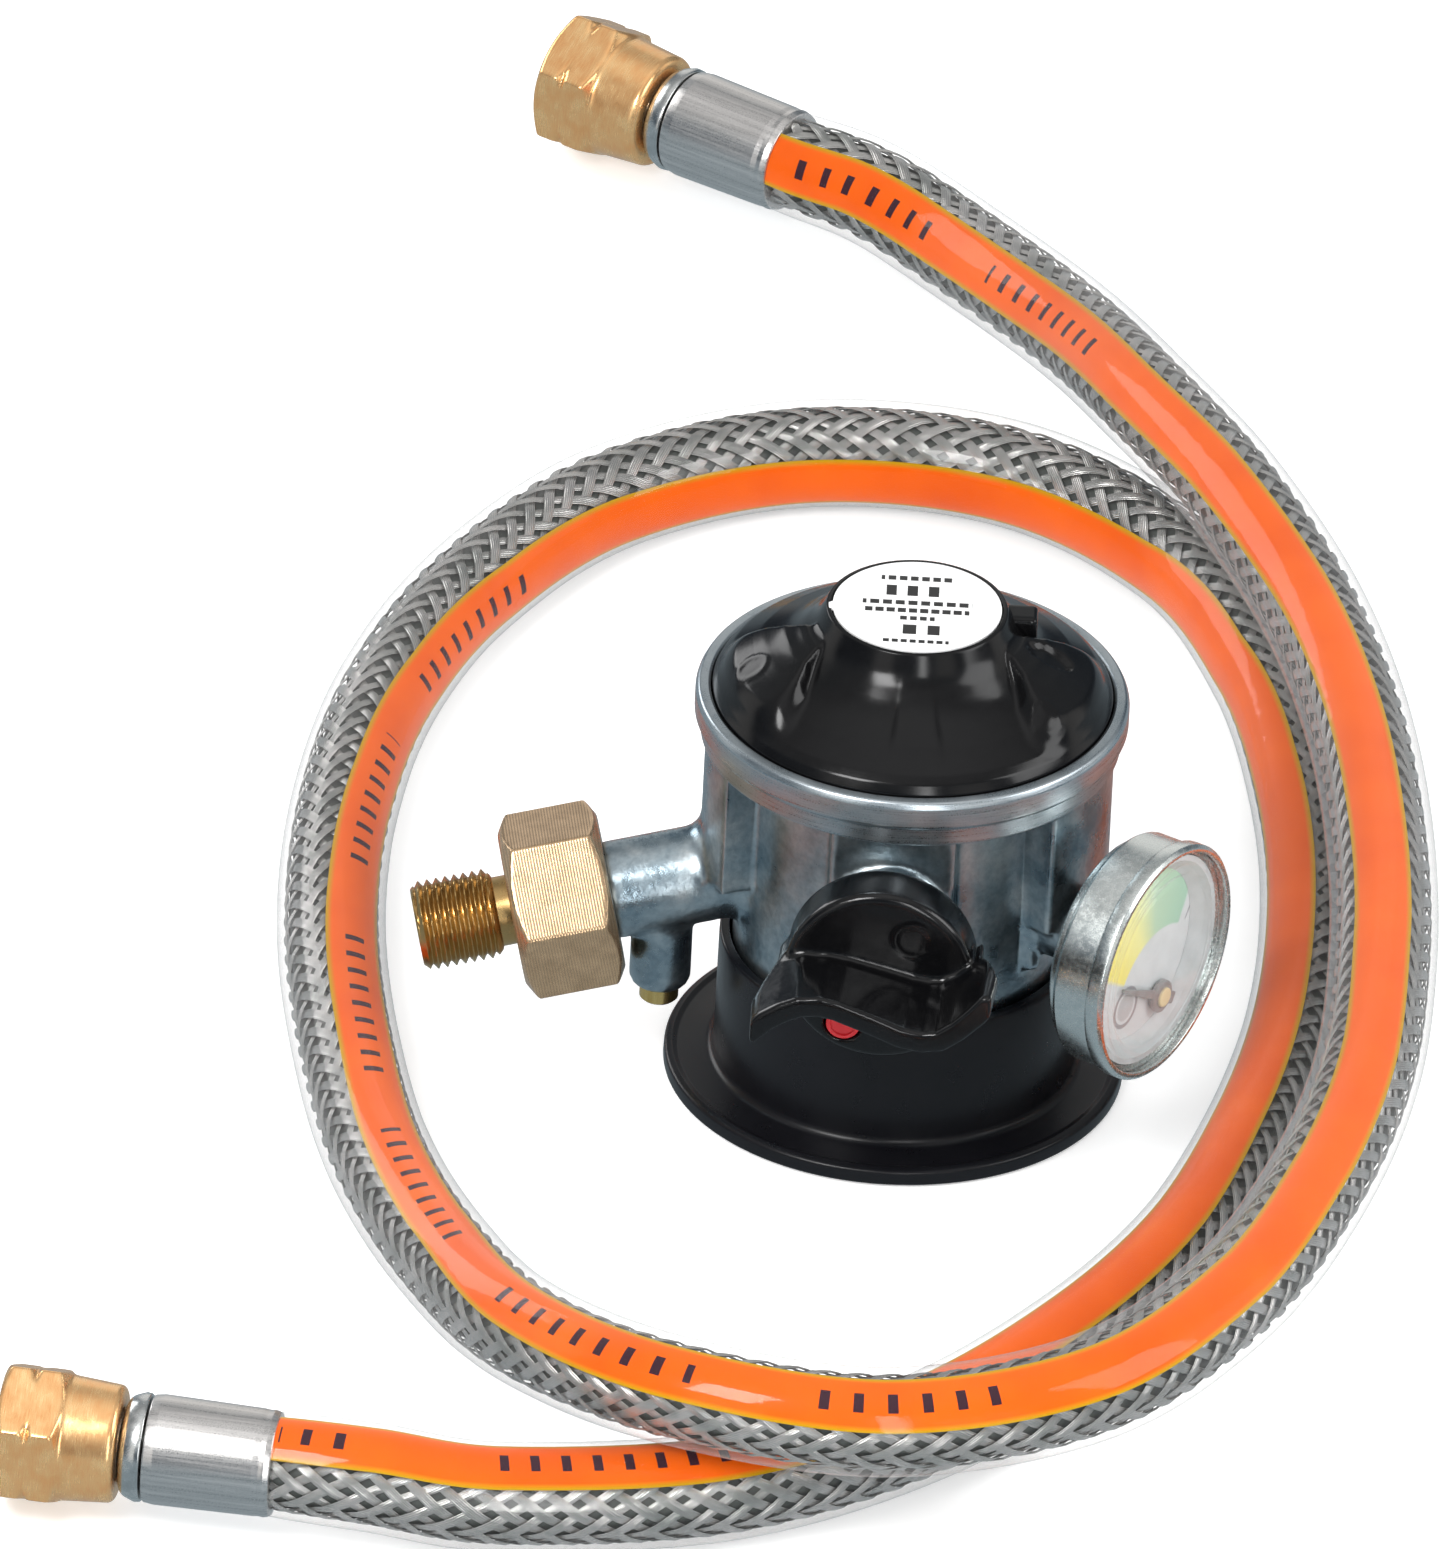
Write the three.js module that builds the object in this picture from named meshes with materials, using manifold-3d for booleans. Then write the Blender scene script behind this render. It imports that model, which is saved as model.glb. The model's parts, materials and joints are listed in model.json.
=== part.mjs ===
// Clip-on LPG regulator for a 27 mm cylinder valve, with pressure gauge, and its loose braided gas hose.
// Millimetres, +Z up. The regulator stands on its locking ring at z = 0 and the hose lies round it.
// The origin is the middle of the regulator's own box, at floor level.

import * as THREE from 'three';
import { mergeVertices } from 'three/addons/utils/BufferGeometryUtils.js';
import Module from 'manifold-3d';

const wasm = await Module();
wasm.setup();

// ---------------------------------------------------------------- driving dimensions

const GAP = 0.3;                      // running gap between neighbouring solids
const SIDES = { large: 30, medium: 20, small: 12, tiny: 8 };    // of turned pieces, by size
const AXIS = { x: 11.2, y: 10.6 };    // where the regulator's upright axis stands

const SOCKET = { radius: 13.9, depth: 13 };                 // takes the 27 mm valve head
const NECK = { radius: 19, top: 13.8 };                     // socket wall inside the locking ring
const BARREL = { radius: 24.4, top: 57 };
const PAD = { radius: 29.8, bottom: 36, left: [150, 208], right: [314, 384] };    // azimuths of each pad
const RIM = { radius: 31.5, band: 30.5, step: 60, top: 64.5, bore: 29.6 };
const HIGH_CHAMBER = { radius: 6.5, bottom: 16, top: 46 };
const LOW_CHAMBER = { radius: 21.8, floor: 49, shoulder: 59, seat: 60.5 };
const SEAL_SEAT = { radius: 10.3, height: 2.8 };            // recess over the socket for the valve seal
const PORT = { radius: 1, wide: 2.5 };                      // drilled gas passages

const BALL = { count: 6, radius: 3, height: 4, pitch: 16.1 };
const RING = { radius: 33.5, wall: 26.25, height: 23, land: 19.4, landTop: 8, bore: 24.8, mouth: 20.4 };

const OUTLET = { azimuth: 187, height: 39.8, dip: 12, radius: 7.15, bore: 4.5, end: 50.6 };
const OUTLET_NUT = { flats: 24, start: 43.6, end: 58.4 };
const OUTLET_THREAD = { radius: 6.58, start: 60.6, end: 72.4 };
const ADAPTER = { start: 52.9, flange: 7.1, flangeEnd: 55.8, neck: 5.1 };
const BUTTON = {
  reach: 34.9, bossRadius: 4.5, bossBottom: 15, radius: 2.85, tip: 12.3, top: 20.8, well: 25.3,
};

const KNOB = { azimuth: -94, height: 40.5, boss: 9, back: 33, face: 41, front: 54.5, radius: 13.8 };
const RED_MARK = { x: -4.8, y: -8.4, radius: 2.5 };
const SPINDLE = { radius: 4, inner: -9, camRadius: 3, camThrow: 2, camHalf: 3.5, end: 38 };
const O_RING = { place: 28, groove: 2.6, pitch: 3.45, cord: 0.5 };
const PLUNGER = { radius: 3, top: 36.8, collar: 5.2, collarTop: 35.4 };

const GAUGE = {
  azimuth: -31, height: 34.5, boss: 5, bossEnd: 31, stem: 4, back: 34.5, dial: 41, front: 45.3, radius: 18.1,
};
// The needle's pivot stands low on the dial.
const NEEDLE = { x: 4.8, y: -9.3, rest: -30, tip: 12.5, tail: 4, hub: 2.4 };
const LEVER = { pivot: -8.5, nozzle: -12.5, height: 55.2, width: 3.4, pin: 0.85, earOffset: 4 };
const CAP = {
  radius: 29.2, edge: 64.5, foot: 61.9, top: 78, crown: 13.2, label: 12.5, bore: 10.3, screwSeat: 71.6,
};

const HOSE = { radius: 8, bore: 4.8 };
const FITTING = {
  ferrule: 19.3, collar: 3.5, outer: 7.9, neck: 5, nutFlats: 19, nutLength: 17.5, hexLength: 9.5, thread: 6.6,
};

// The hose's centre line from end A to end B, measured from the regulator's axis.
const HOSE_ROUTE = [
  [-21, 232, 11.2], [-9, 224.5, 11.2], [4, 211.5, 10.5], [21, 184, 14.5], [33, 154, 21], [46, 125, 24],
  [58, 94, 24], [65.5, 63, 23.8], [69.5, 30, 23.8], [70.5, -2, 23.8], [68.5, -35, 23.8],
  [61.5, -67, 23.8], [50, -97, 24], [31, -123, 24.5], [2, -135.5, 24.6], [-29, -129.5, 24.2],
  [-51, -107, 18.5], [-64, -77, 12], [-74, -46, 8.8], [-80, -14, 8.1], [-83, 18, 8.1], [-82, 51, 8.1],
  [-76.5, 83, 8.1], [-65, 113, 8.1], [-45.5, 140, 8.1], [-17, 155, 8.1], [14, 152, 8.1],
  [38.5, 131, 8.1], [51.5, 101, 8.1], [58, 69, 8.1], [60.5, 37, 8.1], [59, 4, 8.1], [53, -28, 8.1],
  [43, -59, 8.1], [27, -87, 8.1], [6, -111.5, 8.1], [-21, -129, 8.1], [-53, -136.5, 9],
  [-72, -136.5, 11.1], [-85.4, -134.5, 11.2],
];
const HOSE_END_AZIMUTH = { a: 147.9, b: 172 };    // way each fitting points, away from the hose

// ---------------------------------------------------------------- materials

const finish = (color, roughness, metalness) =>
  new THREE.MeshStandardMaterial({ color, roughness, metalness });

const zinc = finish(0x9fa9b0, 0.4, 1);
const blackPlastic = finish(0x0b0b0c, 0.25, 0);
const brass = finish(0xc08a4a, 0.35, 1);
const steel = finish(0xb8bbbd, 0.35, 1);
const springSteel = finish(0x8c8f92, 0.4, 1);
const rubber = finish(0x141414, 0.8, 0);
const redPlastic = finish(0xc3161c, 0.4, 0);
const paper = finish(0xf2f2f0, 0.6, 0);
const clear = finish(0xffffff, 0.05, 0);
clear.transparent = true;
clear.opacity = 0.3;
const hoseCover = finish(0xa9abad, 0.35, 0);

// ---------------------------------------------------------------- shape helpers

const radians = THREE.MathUtils.degToRad;

// A solid of revolution about +Z from its [radius, height] outline, which closes on itself.
function turned(outline, sides = SIDES.medium) {
  const points = outline.map(([radius, height]) => new THREE.Vector2(radius, height));
  if (THREE.ShapeUtils.area(points) < 0) points.reverse();
  points.push(points[0].clone());
  return new THREE.LatheGeometry(points, sides).rotateX(Math.PI / 2);
}

const rod = (radius, low, high, sides = SIDES.small) =>
  turned([[0, low], [radius, low], [radius, high], [0, high]], sides);

const tube = (inner, outer, low, high, sides = SIDES.medium) =>
  turned([[inner, low], [outer, low], [outer, high], [inner, high]], sides);

const box = (x, y, z, wide, deep, high) => new THREE.BoxGeometry(wide, deep, high).translate(x, y, z);

// A flat shape raised along +Z.
const raised = (shape, low, high) =>
  new THREE.ExtrudeGeometry(shape, { depth: high - low, bevelEnabled: false }).translate(0, 0, low);

// A hexagonal bar with a corner on +Y, given by its width across flats.
const hexBar = (flats, low, high) =>
  new THREE.CylinderGeometry(flats / Math.sqrt(3), flats / Math.sqrt(3), high - low, 6)
    .rotateX(Math.PI / 2).translate(0, 0, (low + high) / 2);

// A coil spring about +Z. Its ends are left plain.
function coilSpring(radius, wire, low, high, turns) {
  const rise = high - low - 2 * wire;
  const helix = new (class extends THREE.Curve {
    getPoint(t) {
      const angle = 2 * Math.PI * turns * t;
      return new THREE.Vector3(radius * Math.cos(angle), radius * Math.sin(angle), low + wire + rise * t);
    }
  })();
  return sweep(helix, wire, 5, Math.round(turns * 9));
}

// A round bar of a few sides along a curve.
function sweep(curve, radius, sides, steps) {
  const section = new THREE.Shape();
  for (let i = 0; i < sides; i++) {
    const angle = 2 * Math.PI * i / sides;
    const corner = [radius * Math.cos(angle), radius * Math.sin(angle)];
    if (i === 0) section.moveTo(...corner);
    else section.lineTo(...corner);
  }
  return new THREE.ExtrudeGeometry(section, { steps, extrudePath: curve, bevelEnabled: false });
}

// A closed geometry as a solid that can be joined and cut.
function solid(geometry) {
  const bare = geometry.index ? geometry.toNonIndexed() : geometry.clone();
  bare.deleteAttribute('normal');
  bare.deleteAttribute('uv');
  const merged = mergeVertices(bare, 1e-4);
  const triVerts = [];
  for (let i = 0; i < merged.index.count; i += 3) {
    const [a, b, c] = [0, 1, 2].map((k) => merged.index.getX(i + k));
    if (a !== b && b !== c && c !== a) triVerts.push(a, b, c);
  }
  return new wasm.Manifold(new wasm.Mesh({
    numProp: 3,
    vertProperties: new Float32Array(merged.attributes.position.array),
    triVerts: new Uint32Array(triVerts),
  }));
}

function geometryOf(body) {
  const { vertProperties, triVerts } = body.getMesh();
  const geometry = new THREE.BufferGeometry();
  geometry.setAttribute('position', new THREE.BufferAttribute(vertProperties, 3));
  geometry.setIndex(new THREE.BufferAttribute(triVerts, 1));
  const faceted = geometry.toNonIndexed();
  faceted.computeVertexNormals();
  return faceted;
}

// The first list of geometries joined, less the second list.
function carved(added, removed = []) {
  let body = added.map(solid).reduce((whole, next) => whole.add(next));
  for (const cut of removed) body = body.subtract(solid(cut));
  return geometryOf(body);
}

function piece(name, geometry, material) {
  const mesh = new THREE.Mesh(geometry, material);
  mesh.name = name;
  return mesh;
}

// A group whose +Z points outwards at an azimuth, with +Y up and +X to the right as seen from outside.
// A dip tips its +Z below level.
function sideGroup(azimuth, height, dip = 0) {
  const level = Math.cos(radians(dip));
  const outward = new THREE.Vector3(
    level * Math.cos(radians(azimuth)), level * Math.sin(radians(azimuth)), -Math.sin(radians(dip)));
  const right = new THREE.Vector3(-Math.sin(radians(azimuth)), Math.cos(radians(azimuth)), 0);
  const group = new THREE.Group();
  group.quaternion.setFromRotationMatrix(
    new THREE.Matrix4().makeBasis(right, new THREE.Vector3().crossVectors(outward, right), outward));
  group.position.z = height;
  group.updateMatrix();
  return group;
}

// A geometry drawn in a group's own frame, moved to where the group puts it.
const placed = (group, geometry) => geometry.clone().applyMatrix4(group.matrix);

const outlet = sideGroup(OUTLET.azimuth, OUTLET.height, OUTLET.dip);
const control = sideGroup(KNOB.azimuth, KNOB.height);
const gauge = sideGroup(GAUGE.azimuth, GAUGE.height);
const regulator = new THREE.Group();
regulator.position.set(AXIS.x, AXIS.y, 0);
regulator.add(outlet, control, gauge);

// ---------------------------------------------------------------- body casting

// A pad that thickens the barrel between two azimuths.
function pad(from, to) {
  const shape = new THREE.Shape();
  shape.absarc(0, 0, PAD.radius, radians(from), radians(to), false);
  shape.absarc(0, 0, BARREL.radius - 1.5, radians(to), radians(from), true);
  return raised(shape, PAD.bottom, BARREL.top + 1);
}

// The straight bar of a side passage, drawn about a point off the axis.
const shaftAt = (geometry, azimuth, reach) =>
  geometry.translate(reach * Math.cos(radians(azimuth)), reach * Math.sin(radians(azimuth)), 0);

// A bar drawn along +Z, laid along Y through the lever's pivot.
const crossways = (geometry) =>
  geometry.rotateX(Math.PI / 2).translate(LEVER.pivot, 0, LEVER.height);

function bodyCasting() {
  const shell = turned([
    [SOCKET.radius, 0], [NECK.radius, 0], [NECK.radius, NECK.top], [BARREL.radius, NECK.top],
    [BARREL.radius, BARREL.top], [RIM.band, BARREL.top], [RIM.band, RIM.step], [RIM.radius, RIM.step + 0.8],
    [RIM.radius, RIM.top - 0.6], [RIM.radius - 0.6, RIM.top], [RIM.bore, RIM.top],
    [RIM.bore, LOW_CHAMBER.seat], [28, LOW_CHAMBER.seat], [28, LOW_CHAMBER.shoulder],
    [LOW_CHAMBER.radius, LOW_CHAMBER.shoulder], [LOW_CHAMBER.radius, LOW_CHAMBER.floor],
    [0, LOW_CHAMBER.floor], [0, SOCKET.depth], [SOCKET.radius, SOCKET.depth],
  ], SIDES.large);
  const leverEars = [-1, 1].map((side) =>
    box(LEVER.pivot, side * LEVER.earOffset, LOW_CHAMBER.floor + 3.5, LEVER.width, 2, 8));
  const inWall = BARREL.radius - 4;
  const added = [
    shell, pad(...PAD.left), pad(...PAD.right), ...leverEars,
    placed(outlet, rod(OUTLET.radius, inWall, OUTLET_NUT.start + 0.5, SIDES.medium)),
    placed(outlet, rod(OUTLET.radius - 0.4, OUTLET_NUT.start, OUTLET.end, SIDES.medium)),
    shaftAt(rod(BUTTON.bossRadius, BUTTON.bossBottom, BUTTON.well + 5), OUTLET.azimuth, BUTTON.reach),
    placed(control, rod(KNOB.boss, inWall, KNOB.back - GAP)),
    placed(gauge, rod(GAUGE.boss, inWall, GAUGE.bossEnd)),
  ];
  const ballHoles = Array.from({ length: BALL.count }, (_, i) =>
    placed(sideGroup(360 * i / BALL.count + 30, BALL.height), rod(BALL.radius + GAP, 12, 21, SIDES.tiny)));
  const drilled = (radius, low, high, azimuth, reach) =>
    shaftAt(rod(radius, low, high, SIDES.tiny), azimuth, reach);
  const sensePort = 42;
  const guide = { low: 21.5, high: 26.2 };    // the web that the opening pin slides in
  const chambers = [
    rod(SEAL_SEAT.radius, SOCKET.depth - 1, SOCKET.depth + SEAL_SEAT.height + 0.2, SIDES.medium),
    rod(HIGH_CHAMBER.radius, HIGH_CHAMBER.bottom - 1, guide.low),
    rod(PLUNGER.radius + GAP, guide.low - 1, guide.high + 1),
    rod(HIGH_CHAMBER.radius, guide.high, HIGH_CHAMBER.top),
  ];
  const sideBores = [
    placed(control, rod(SPINDLE.radius + GAP, SPINDLE.inner - GAP, KNOB.back)),
    placed(outlet, rod(OUTLET.bore, 15, OUTLET.end + 1)),
    drilled(PORT.wide, OUTLET.height - 3, LOW_CHAMBER.floor + 1, OUTLET.azimuth + 8, 19),
    placed(gauge, rod(GAUGE.stem + GAP, inWall - 1, GAUGE.bossEnd + 1)),
    placed(gauge, rod(PORT.radius, 5, inWall, SIDES.tiny)),
  ];
  const nozzleBores = [
    placed(sideGroup(180, sensePort), rod(PORT.radius, 5, -LEVER.nozzle + 1, SIDES.tiny)),
    drilled(PORT.radius, sensePort, sensePort + 5, 180, -LEVER.nozzle),
    drilled(PORT.wide + GAP, sensePort + 4, LOW_CHAMBER.floor + 1, 180, -LEVER.nozzle),
    crossways(rod(LEVER.pin + GAP, -7, 7, SIDES.tiny)),
  ];
  const buttonBores = [
    drilled(BUTTON.radius + GAP, BUTTON.bossBottom - 1, BUTTON.well, OUTLET.azimuth, BUTTON.reach),
    drilled(PORT.radius, BUTTON.well - 0.5, BUTTON.well + 3.5, OUTLET.azimuth, BUTTON.reach),
  ];
  return carved(added, [...chambers, ...sideBores, ...nozzleBores, ...buttonBores, ...ballHoles]);
}
regulator.add(piece('body_casting', bodyCasting(), zinc));

// ---------------------------------------------------------------- cap, diaphragm and main spring

function bonnetCap() {
  const shell = turned([
    [20, CAP.foot], [CAP.radius, CAP.foot], [CAP.radius, CAP.edge], [28.6, 65.6], [26.6, 67.6], [24.4, 69.2],
    [20.6, 71.6], [16.2, 75.4], [CAP.crown + 0.8, 77.5], [CAP.crown, CAP.top], [CAP.bore, CAP.top],
    [CAP.bore, CAP.screwSeat], [14, CAP.screwSeat], [20, 66.8],
  ], SIDES.large);
  const lug = box(CAP.crown + 1.6, 3, 74.5, 5.6, 4.5, 5);
  return carved([shell, lug]);
}
regulator.add(
  piece('bonnet_cap', bonnetCap(), blackPlastic),
  piece('cap_label', rod(CAP.label, CAP.top + GAP, CAP.top + 0.8, SIDES.medium), paper),
  piece('adjusting_screw', carved([rod(10, CAP.screwSeat + 0.6, 76)], [hexBar(8, 74, 77)]), brass),
  piece('main_spring', coilSpring(8, 0.9, 62.9, CAP.screwSeat + GAP, 4.5), springSteel),
  piece('diaphragm_plate', tube(3, 16, 61.6, 62.6), steel),
  piece('diaphragm', turned([
    [3, 60.5], [18, 60.5], [20, 59.6], [22.5, 59.6], [24.5, 60.8], [29.3, 60.8], [29.3, 61.6],
    [24.2, 61.6], [22.3, 60.4], [20.2, 60.4], [18.2, 61.3], [3, 61.3],
  ]), rubber),
  piece('diaphragm_stem', turned([
    [0, 56.5], [2, 56.5], [2, 58.4], [5, 58.4], [5, 60.2], [2.7, 60.2], [2.7, 64.5], [0, 64.5],
  ], SIDES.small), steel),
);

// ---------------------------------------------------------------- first stage of the valve train

function valveLever() {
  const arm = box(-5.9, 0, LEVER.height, 16.4, LEVER.width, 1.6);
  const knuckle = crossways(rod(1.9, -LEVER.width / 2, LEVER.width / 2));
  const pivotHole = crossways(rod(LEVER.pin + GAP, -LEVER.width, LEVER.width, SIDES.tiny));
  return carved([arm, knuckle], [pivotHole]);
}
regulator.add(
  piece('valve_lever', valveLever(), steel),
  piece('lever_pin', crossways(rod(LEVER.pin, -5.4, 5.4, SIDES.tiny)), steel),
);

const nozzleGroup = new THREE.Group();
nozzleGroup.position.x = LEVER.nozzle;
nozzleGroup.add(
  piece('inlet_nozzle', tube(0.8, 2.5, 46.4, 50.6, SIDES.small), brass),
  piece('seat_pad', rod(2.2, 51.8, 52.5), rubber),
  piece('valve_poppet', turned([
    [0, 52.8], [2.8, 52.8], [2.8, 53.6], [1.2, 53.6], [1.2, 54.1], [0, 54.1],
  ], SIDES.small), brass),
);
regulator.add(nozzleGroup);

// ---------------------------------------------------------------- cylinder valve socket

regulator.add(
  piece('valve_seal', tube(4.5, SEAL_SEAT.radius - GAP, 12.4, SOCKET.depth + SEAL_SEAT.height - 0.1), rubber),
  piece('opening_pin', turned([
    [0, 10], [1.8, 10], [2, 10.4], [2, 18], [PLUNGER.radius, 18.6], [PLUNGER.radius, 34],
    [PLUNGER.collar, 34], [PLUNGER.collar, PLUNGER.collarTop], [PLUNGER.radius, PLUNGER.collarTop],
    [PLUNGER.radius, PLUNGER.top], [0, PLUNGER.top],
  ], SIDES.small), brass),
  piece('pin_spring', coilSpring(4.6, 0.45, 26.3, 33.7, 5), springSteel),
  piece('ring_spring', coilSpring(22, 0.7, RING.landTop + GAP, NECK.top - GAP, 2.5), springSteel),
);
for (let i = 0; i < BALL.count; i++) {
  const azimuth = radians(360 * i / BALL.count + 30);
  const ball = piece(`lock_ball_${i + 1}`, new THREE.SphereGeometry(BALL.radius, 12, 7), steel);
  ball.position.set(BALL.pitch * Math.cos(azimuth), BALL.pitch * Math.sin(azimuth), BALL.height);
  regulator.add(ball);
}

// Below the balls the land widens, so that the lifted ring lets them out.
const lockRing = turned([
  [RING.mouth, 0], [33, 0], [RING.radius, 0.5], [RING.radius, 1.6], [32.8, 2.3], [28, 3.1], [26.8, 4.4],
  [RING.wall, 6.4], [RING.wall, RING.height], [RING.bore, RING.height], [RING.bore, RING.landTop],
  [RING.land, RING.landTop], [RING.land, BALL.height],
], SIDES.large);
regulator.add(piece('lock_ring', lockRing, blackPlastic));

// ---------------------------------------------------------------- control knob

function camSpindle() {
  const cam = rod(SPINDLE.camRadius, -SPINDLE.camHalf - 0.5, SPINDLE.camHalf + 0.5)
    .translate(SPINDLE.camThrow, 0, 0);
  return carved([
    rod(SPINDLE.radius, SPINDLE.inner, -SPINDLE.camHalf), cam,
    rod(SPINDLE.radius, SPINDLE.camHalf, O_RING.place - 1),
    rod(O_RING.groove, O_RING.place - 2, O_RING.place + 2),
    rod(SPINDLE.radius, O_RING.place + 1, SPINDLE.end),
  ]);
}

// The grip: a wavy blade across the knob, thicker in the middle.
function knobBlade() {
  const spine = new THREE.SplineCurve([
    [-17.5, -3.5], [-13, 0.5], [-8, 2.6], [0, 0], [8, -2.6], [13, -0.5], [17.5, 3.5],
  ].map(([x, y]) => new THREE.Vector2(x, y)));
  const samples = 24;
  const sides = { left: [], right: [] };
  for (let i = 0; i <= samples; i++) {
    const t = i / samples;
    const centre = spine.getPoint(t);
    const along = spine.getTangent(t);
    const across = new THREE.Vector2(-along.y, along.x).multiplyScalar(1.6);
    sides.left.push(centre.clone().add(across));
    sides.right.push(centre.clone().sub(across));
  }
  return raised(new THREE.Shape([...sides.right, ...sides.left.reverse()]), KNOB.face - 1, KNOB.front);
}

const atRedMark = (geometry) => geometry.translate(RED_MARK.x, RED_MARK.y, 0);
control.add(
  piece('cam_spindle', camSpindle(), steel),
  piece('spindle_o_ring', new THREE.TorusGeometry(O_RING.pitch, O_RING.cord, 6, SIDES.small)
    .translate(0, 0, O_RING.place), rubber),
  piece('knob', carved(
    [rod(KNOB.radius, KNOB.back, KNOB.face, SIDES.large), knobBlade()],
    [rod(SPINDLE.radius + GAP, KNOB.back - 1, SPINDLE.end + GAP),
      atRedMark(rod(RED_MARK.radius + GAP, KNOB.face - 1, KNOB.face + 1))]), blackPlastic),
  piece('knob_red_mark', atRedMark(rod(RED_MARK.radius, KNOB.face - 1 + GAP, KNOB.face + 0.3)), redPlastic),
);

// ---------------------------------------------------------------- outlet

function outletNut() {
  const { flats, start, end } = OUTLET_NUT;
  const lip = ADAPTER.flangeEnd + 0.4;
  return carved([hexBar(flats, start, end)], [
    rod(ADAPTER.flange + GAP, start - 1, lip, SIDES.medium),
    rod(ADAPTER.neck + GAP, lip - 1, end + 1, SIDES.medium),
  ]);
}
const outletAdapter = turned([
  [3, ADAPTER.start], [ADAPTER.flange, ADAPTER.start], [ADAPTER.flange, ADAPTER.flangeEnd],
  [ADAPTER.neck, ADAPTER.flangeEnd], [ADAPTER.neck, OUTLET_THREAD.start],
  [OUTLET_THREAD.radius - 0.9, OUTLET_THREAD.start], [OUTLET_THREAD.radius, OUTLET_THREAD.start + 0.9],
  [OUTLET_THREAD.radius, OUTLET_THREAD.end - 0.9], [OUTLET_THREAD.radius - 0.9, OUTLET_THREAD.end],
  [4.6, OUTLET_THREAD.end], [3, OUTLET_THREAD.end - 1.6],
]);
const unionNut = piece('union_nut', outletNut(), brass);
unionNut.rotation.z = radians(-20);
outlet.add(
  unionNut,
  piece('outlet_adapter', outletAdapter, brass),
  piece('outlet_washer', tube(4.6, 6.9, OUTLET.end + GAP, ADAPTER.start - GAP), rubber),
  piece('flow_fuse_piston', turned([
    [0, 36], [3.9, 36], [3.9, 37.5], [2.2, 39.5], [0, 40],
  ], SIDES.small), brass),
  piece('flow_fuse_spring', coilSpring(3.5, 0.4, 42, 49, 5), springSteel),
);

const buttonGroup = new THREE.Group();
buttonGroup.position.set(
  BUTTON.reach * Math.cos(radians(OUTLET.azimuth)), BUTTON.reach * Math.sin(radians(OUTLET.azimuth)), 0);
buttonGroup.add(
  piece('reset_button', turned([
    [0, BUTTON.tip], [BUTTON.radius - 0.4, BUTTON.tip], [BUTTON.radius, BUTTON.tip + 0.4],
    [BUTTON.radius, BUTTON.top], [0, BUTTON.top],
  ], SIDES.small), brass),
  piece('button_spring', coilSpring(2.1, 0.3, BUTTON.top + GAP, BUTTON.well - GAP, 4), springSteel),
);
regulator.add(buttonGroup);

// ---------------------------------------------------------------- pressure gauge

const gaugeCase = turned([
  [4.3, GAUGE.back], [16, GAUGE.back], [16, 36.5], [17.3, 36.8], [17.3, 43.4], [16.3, 43.4], [16.3, 37.2],
  [4.3, 37.2],
]);
const gaugeBezel = turned([
  [17.6, 42.6], [GAUGE.radius, 42.6], [GAUGE.radius, 44.8], [17.6, GAUGE.front], [15.4, GAUGE.front],
  [15.4, 44.7], [17.6, 44.7],
]);

// The needle points up and to the left from its pivot, with its hub and its arbor through the dial.
const atPivot = (geometry) => geometry.rotateZ(radians(NEEDLE.rest)).translate(NEEDLE.x, NEEDLE.y, 0);

function gaugeNeedle() {
  const arm = new THREE.Shape(
    [[-NEEDLE.tip, -0.3], [NEEDLE.tail, -0.9], [NEEDLE.tail, 0.9], [-NEEDLE.tip, 0.3]].map(
      ([x, y]) => new THREE.Vector2(x, y)));
  return carved([
    atPivot(raised(arm, GAUGE.dial + 0.6, GAUGE.dial + 1.1)),
    atPivot(rod(NEEDLE.hub, GAUGE.dial + 0.4, GAUGE.dial + 1.8)),
    atPivot(rod(0.6, GAUGE.dial - 2, GAUGE.dial + 1, SIDES.tiny)),
  ]);
}
const gaugeDial = carved(
  [rod(16, GAUGE.dial - 0.5, GAUGE.dial, SIDES.medium)],
  [atPivot(rod(1, GAUGE.dial - 1, GAUGE.dial + 1, SIDES.tiny))]);

// The curved pressure tube behind the dial.
class TubeArc extends THREE.Curve {
  getPoint(t) {
    const angle = radians(-25 + 235 * t);
    return new THREE.Vector3(10.5 * Math.cos(angle), 10.5 * Math.sin(angle), 38.9);
  }
}
gauge.add(
  piece('gauge_case', gaugeCase, steel),
  piece('gauge_bezel', gaugeBezel, steel),
  piece('gauge_lens', rod(17.3, 43.7, 44.4, SIDES.medium), clear),
  piece('gauge_dial', gaugeDial, paper),
  piece('gauge_needle', gaugeNeedle(), springSteel),
  piece('gauge_stem', tube(1, GAUGE.stem, 23, 38, SIDES.small), brass),
  piece('gauge_seal', tube(GAUGE.stem + GAP, 6.6, GAUGE.bossEnd + GAP, 33, SIDES.small), rubber),
  piece('bourdon_tube', sweep(new TubeArc(), 1.1, 6, 24), brass),
);

// ---------------------------------------------------------------- hose

const hose = new THREE.Group();
hose.position.set(AXIS.x, AXIS.y, 0);

const route = new THREE.CatmullRomCurve3(
  HOSE_ROUTE.map(([x, y, z]) => new THREE.Vector3(x, y, z)), false, 'catmullrom', 0.5);
hose.add(piece('hose_tube', sweep(route, HOSE.radius, 10, 64), hoseCover));

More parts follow.
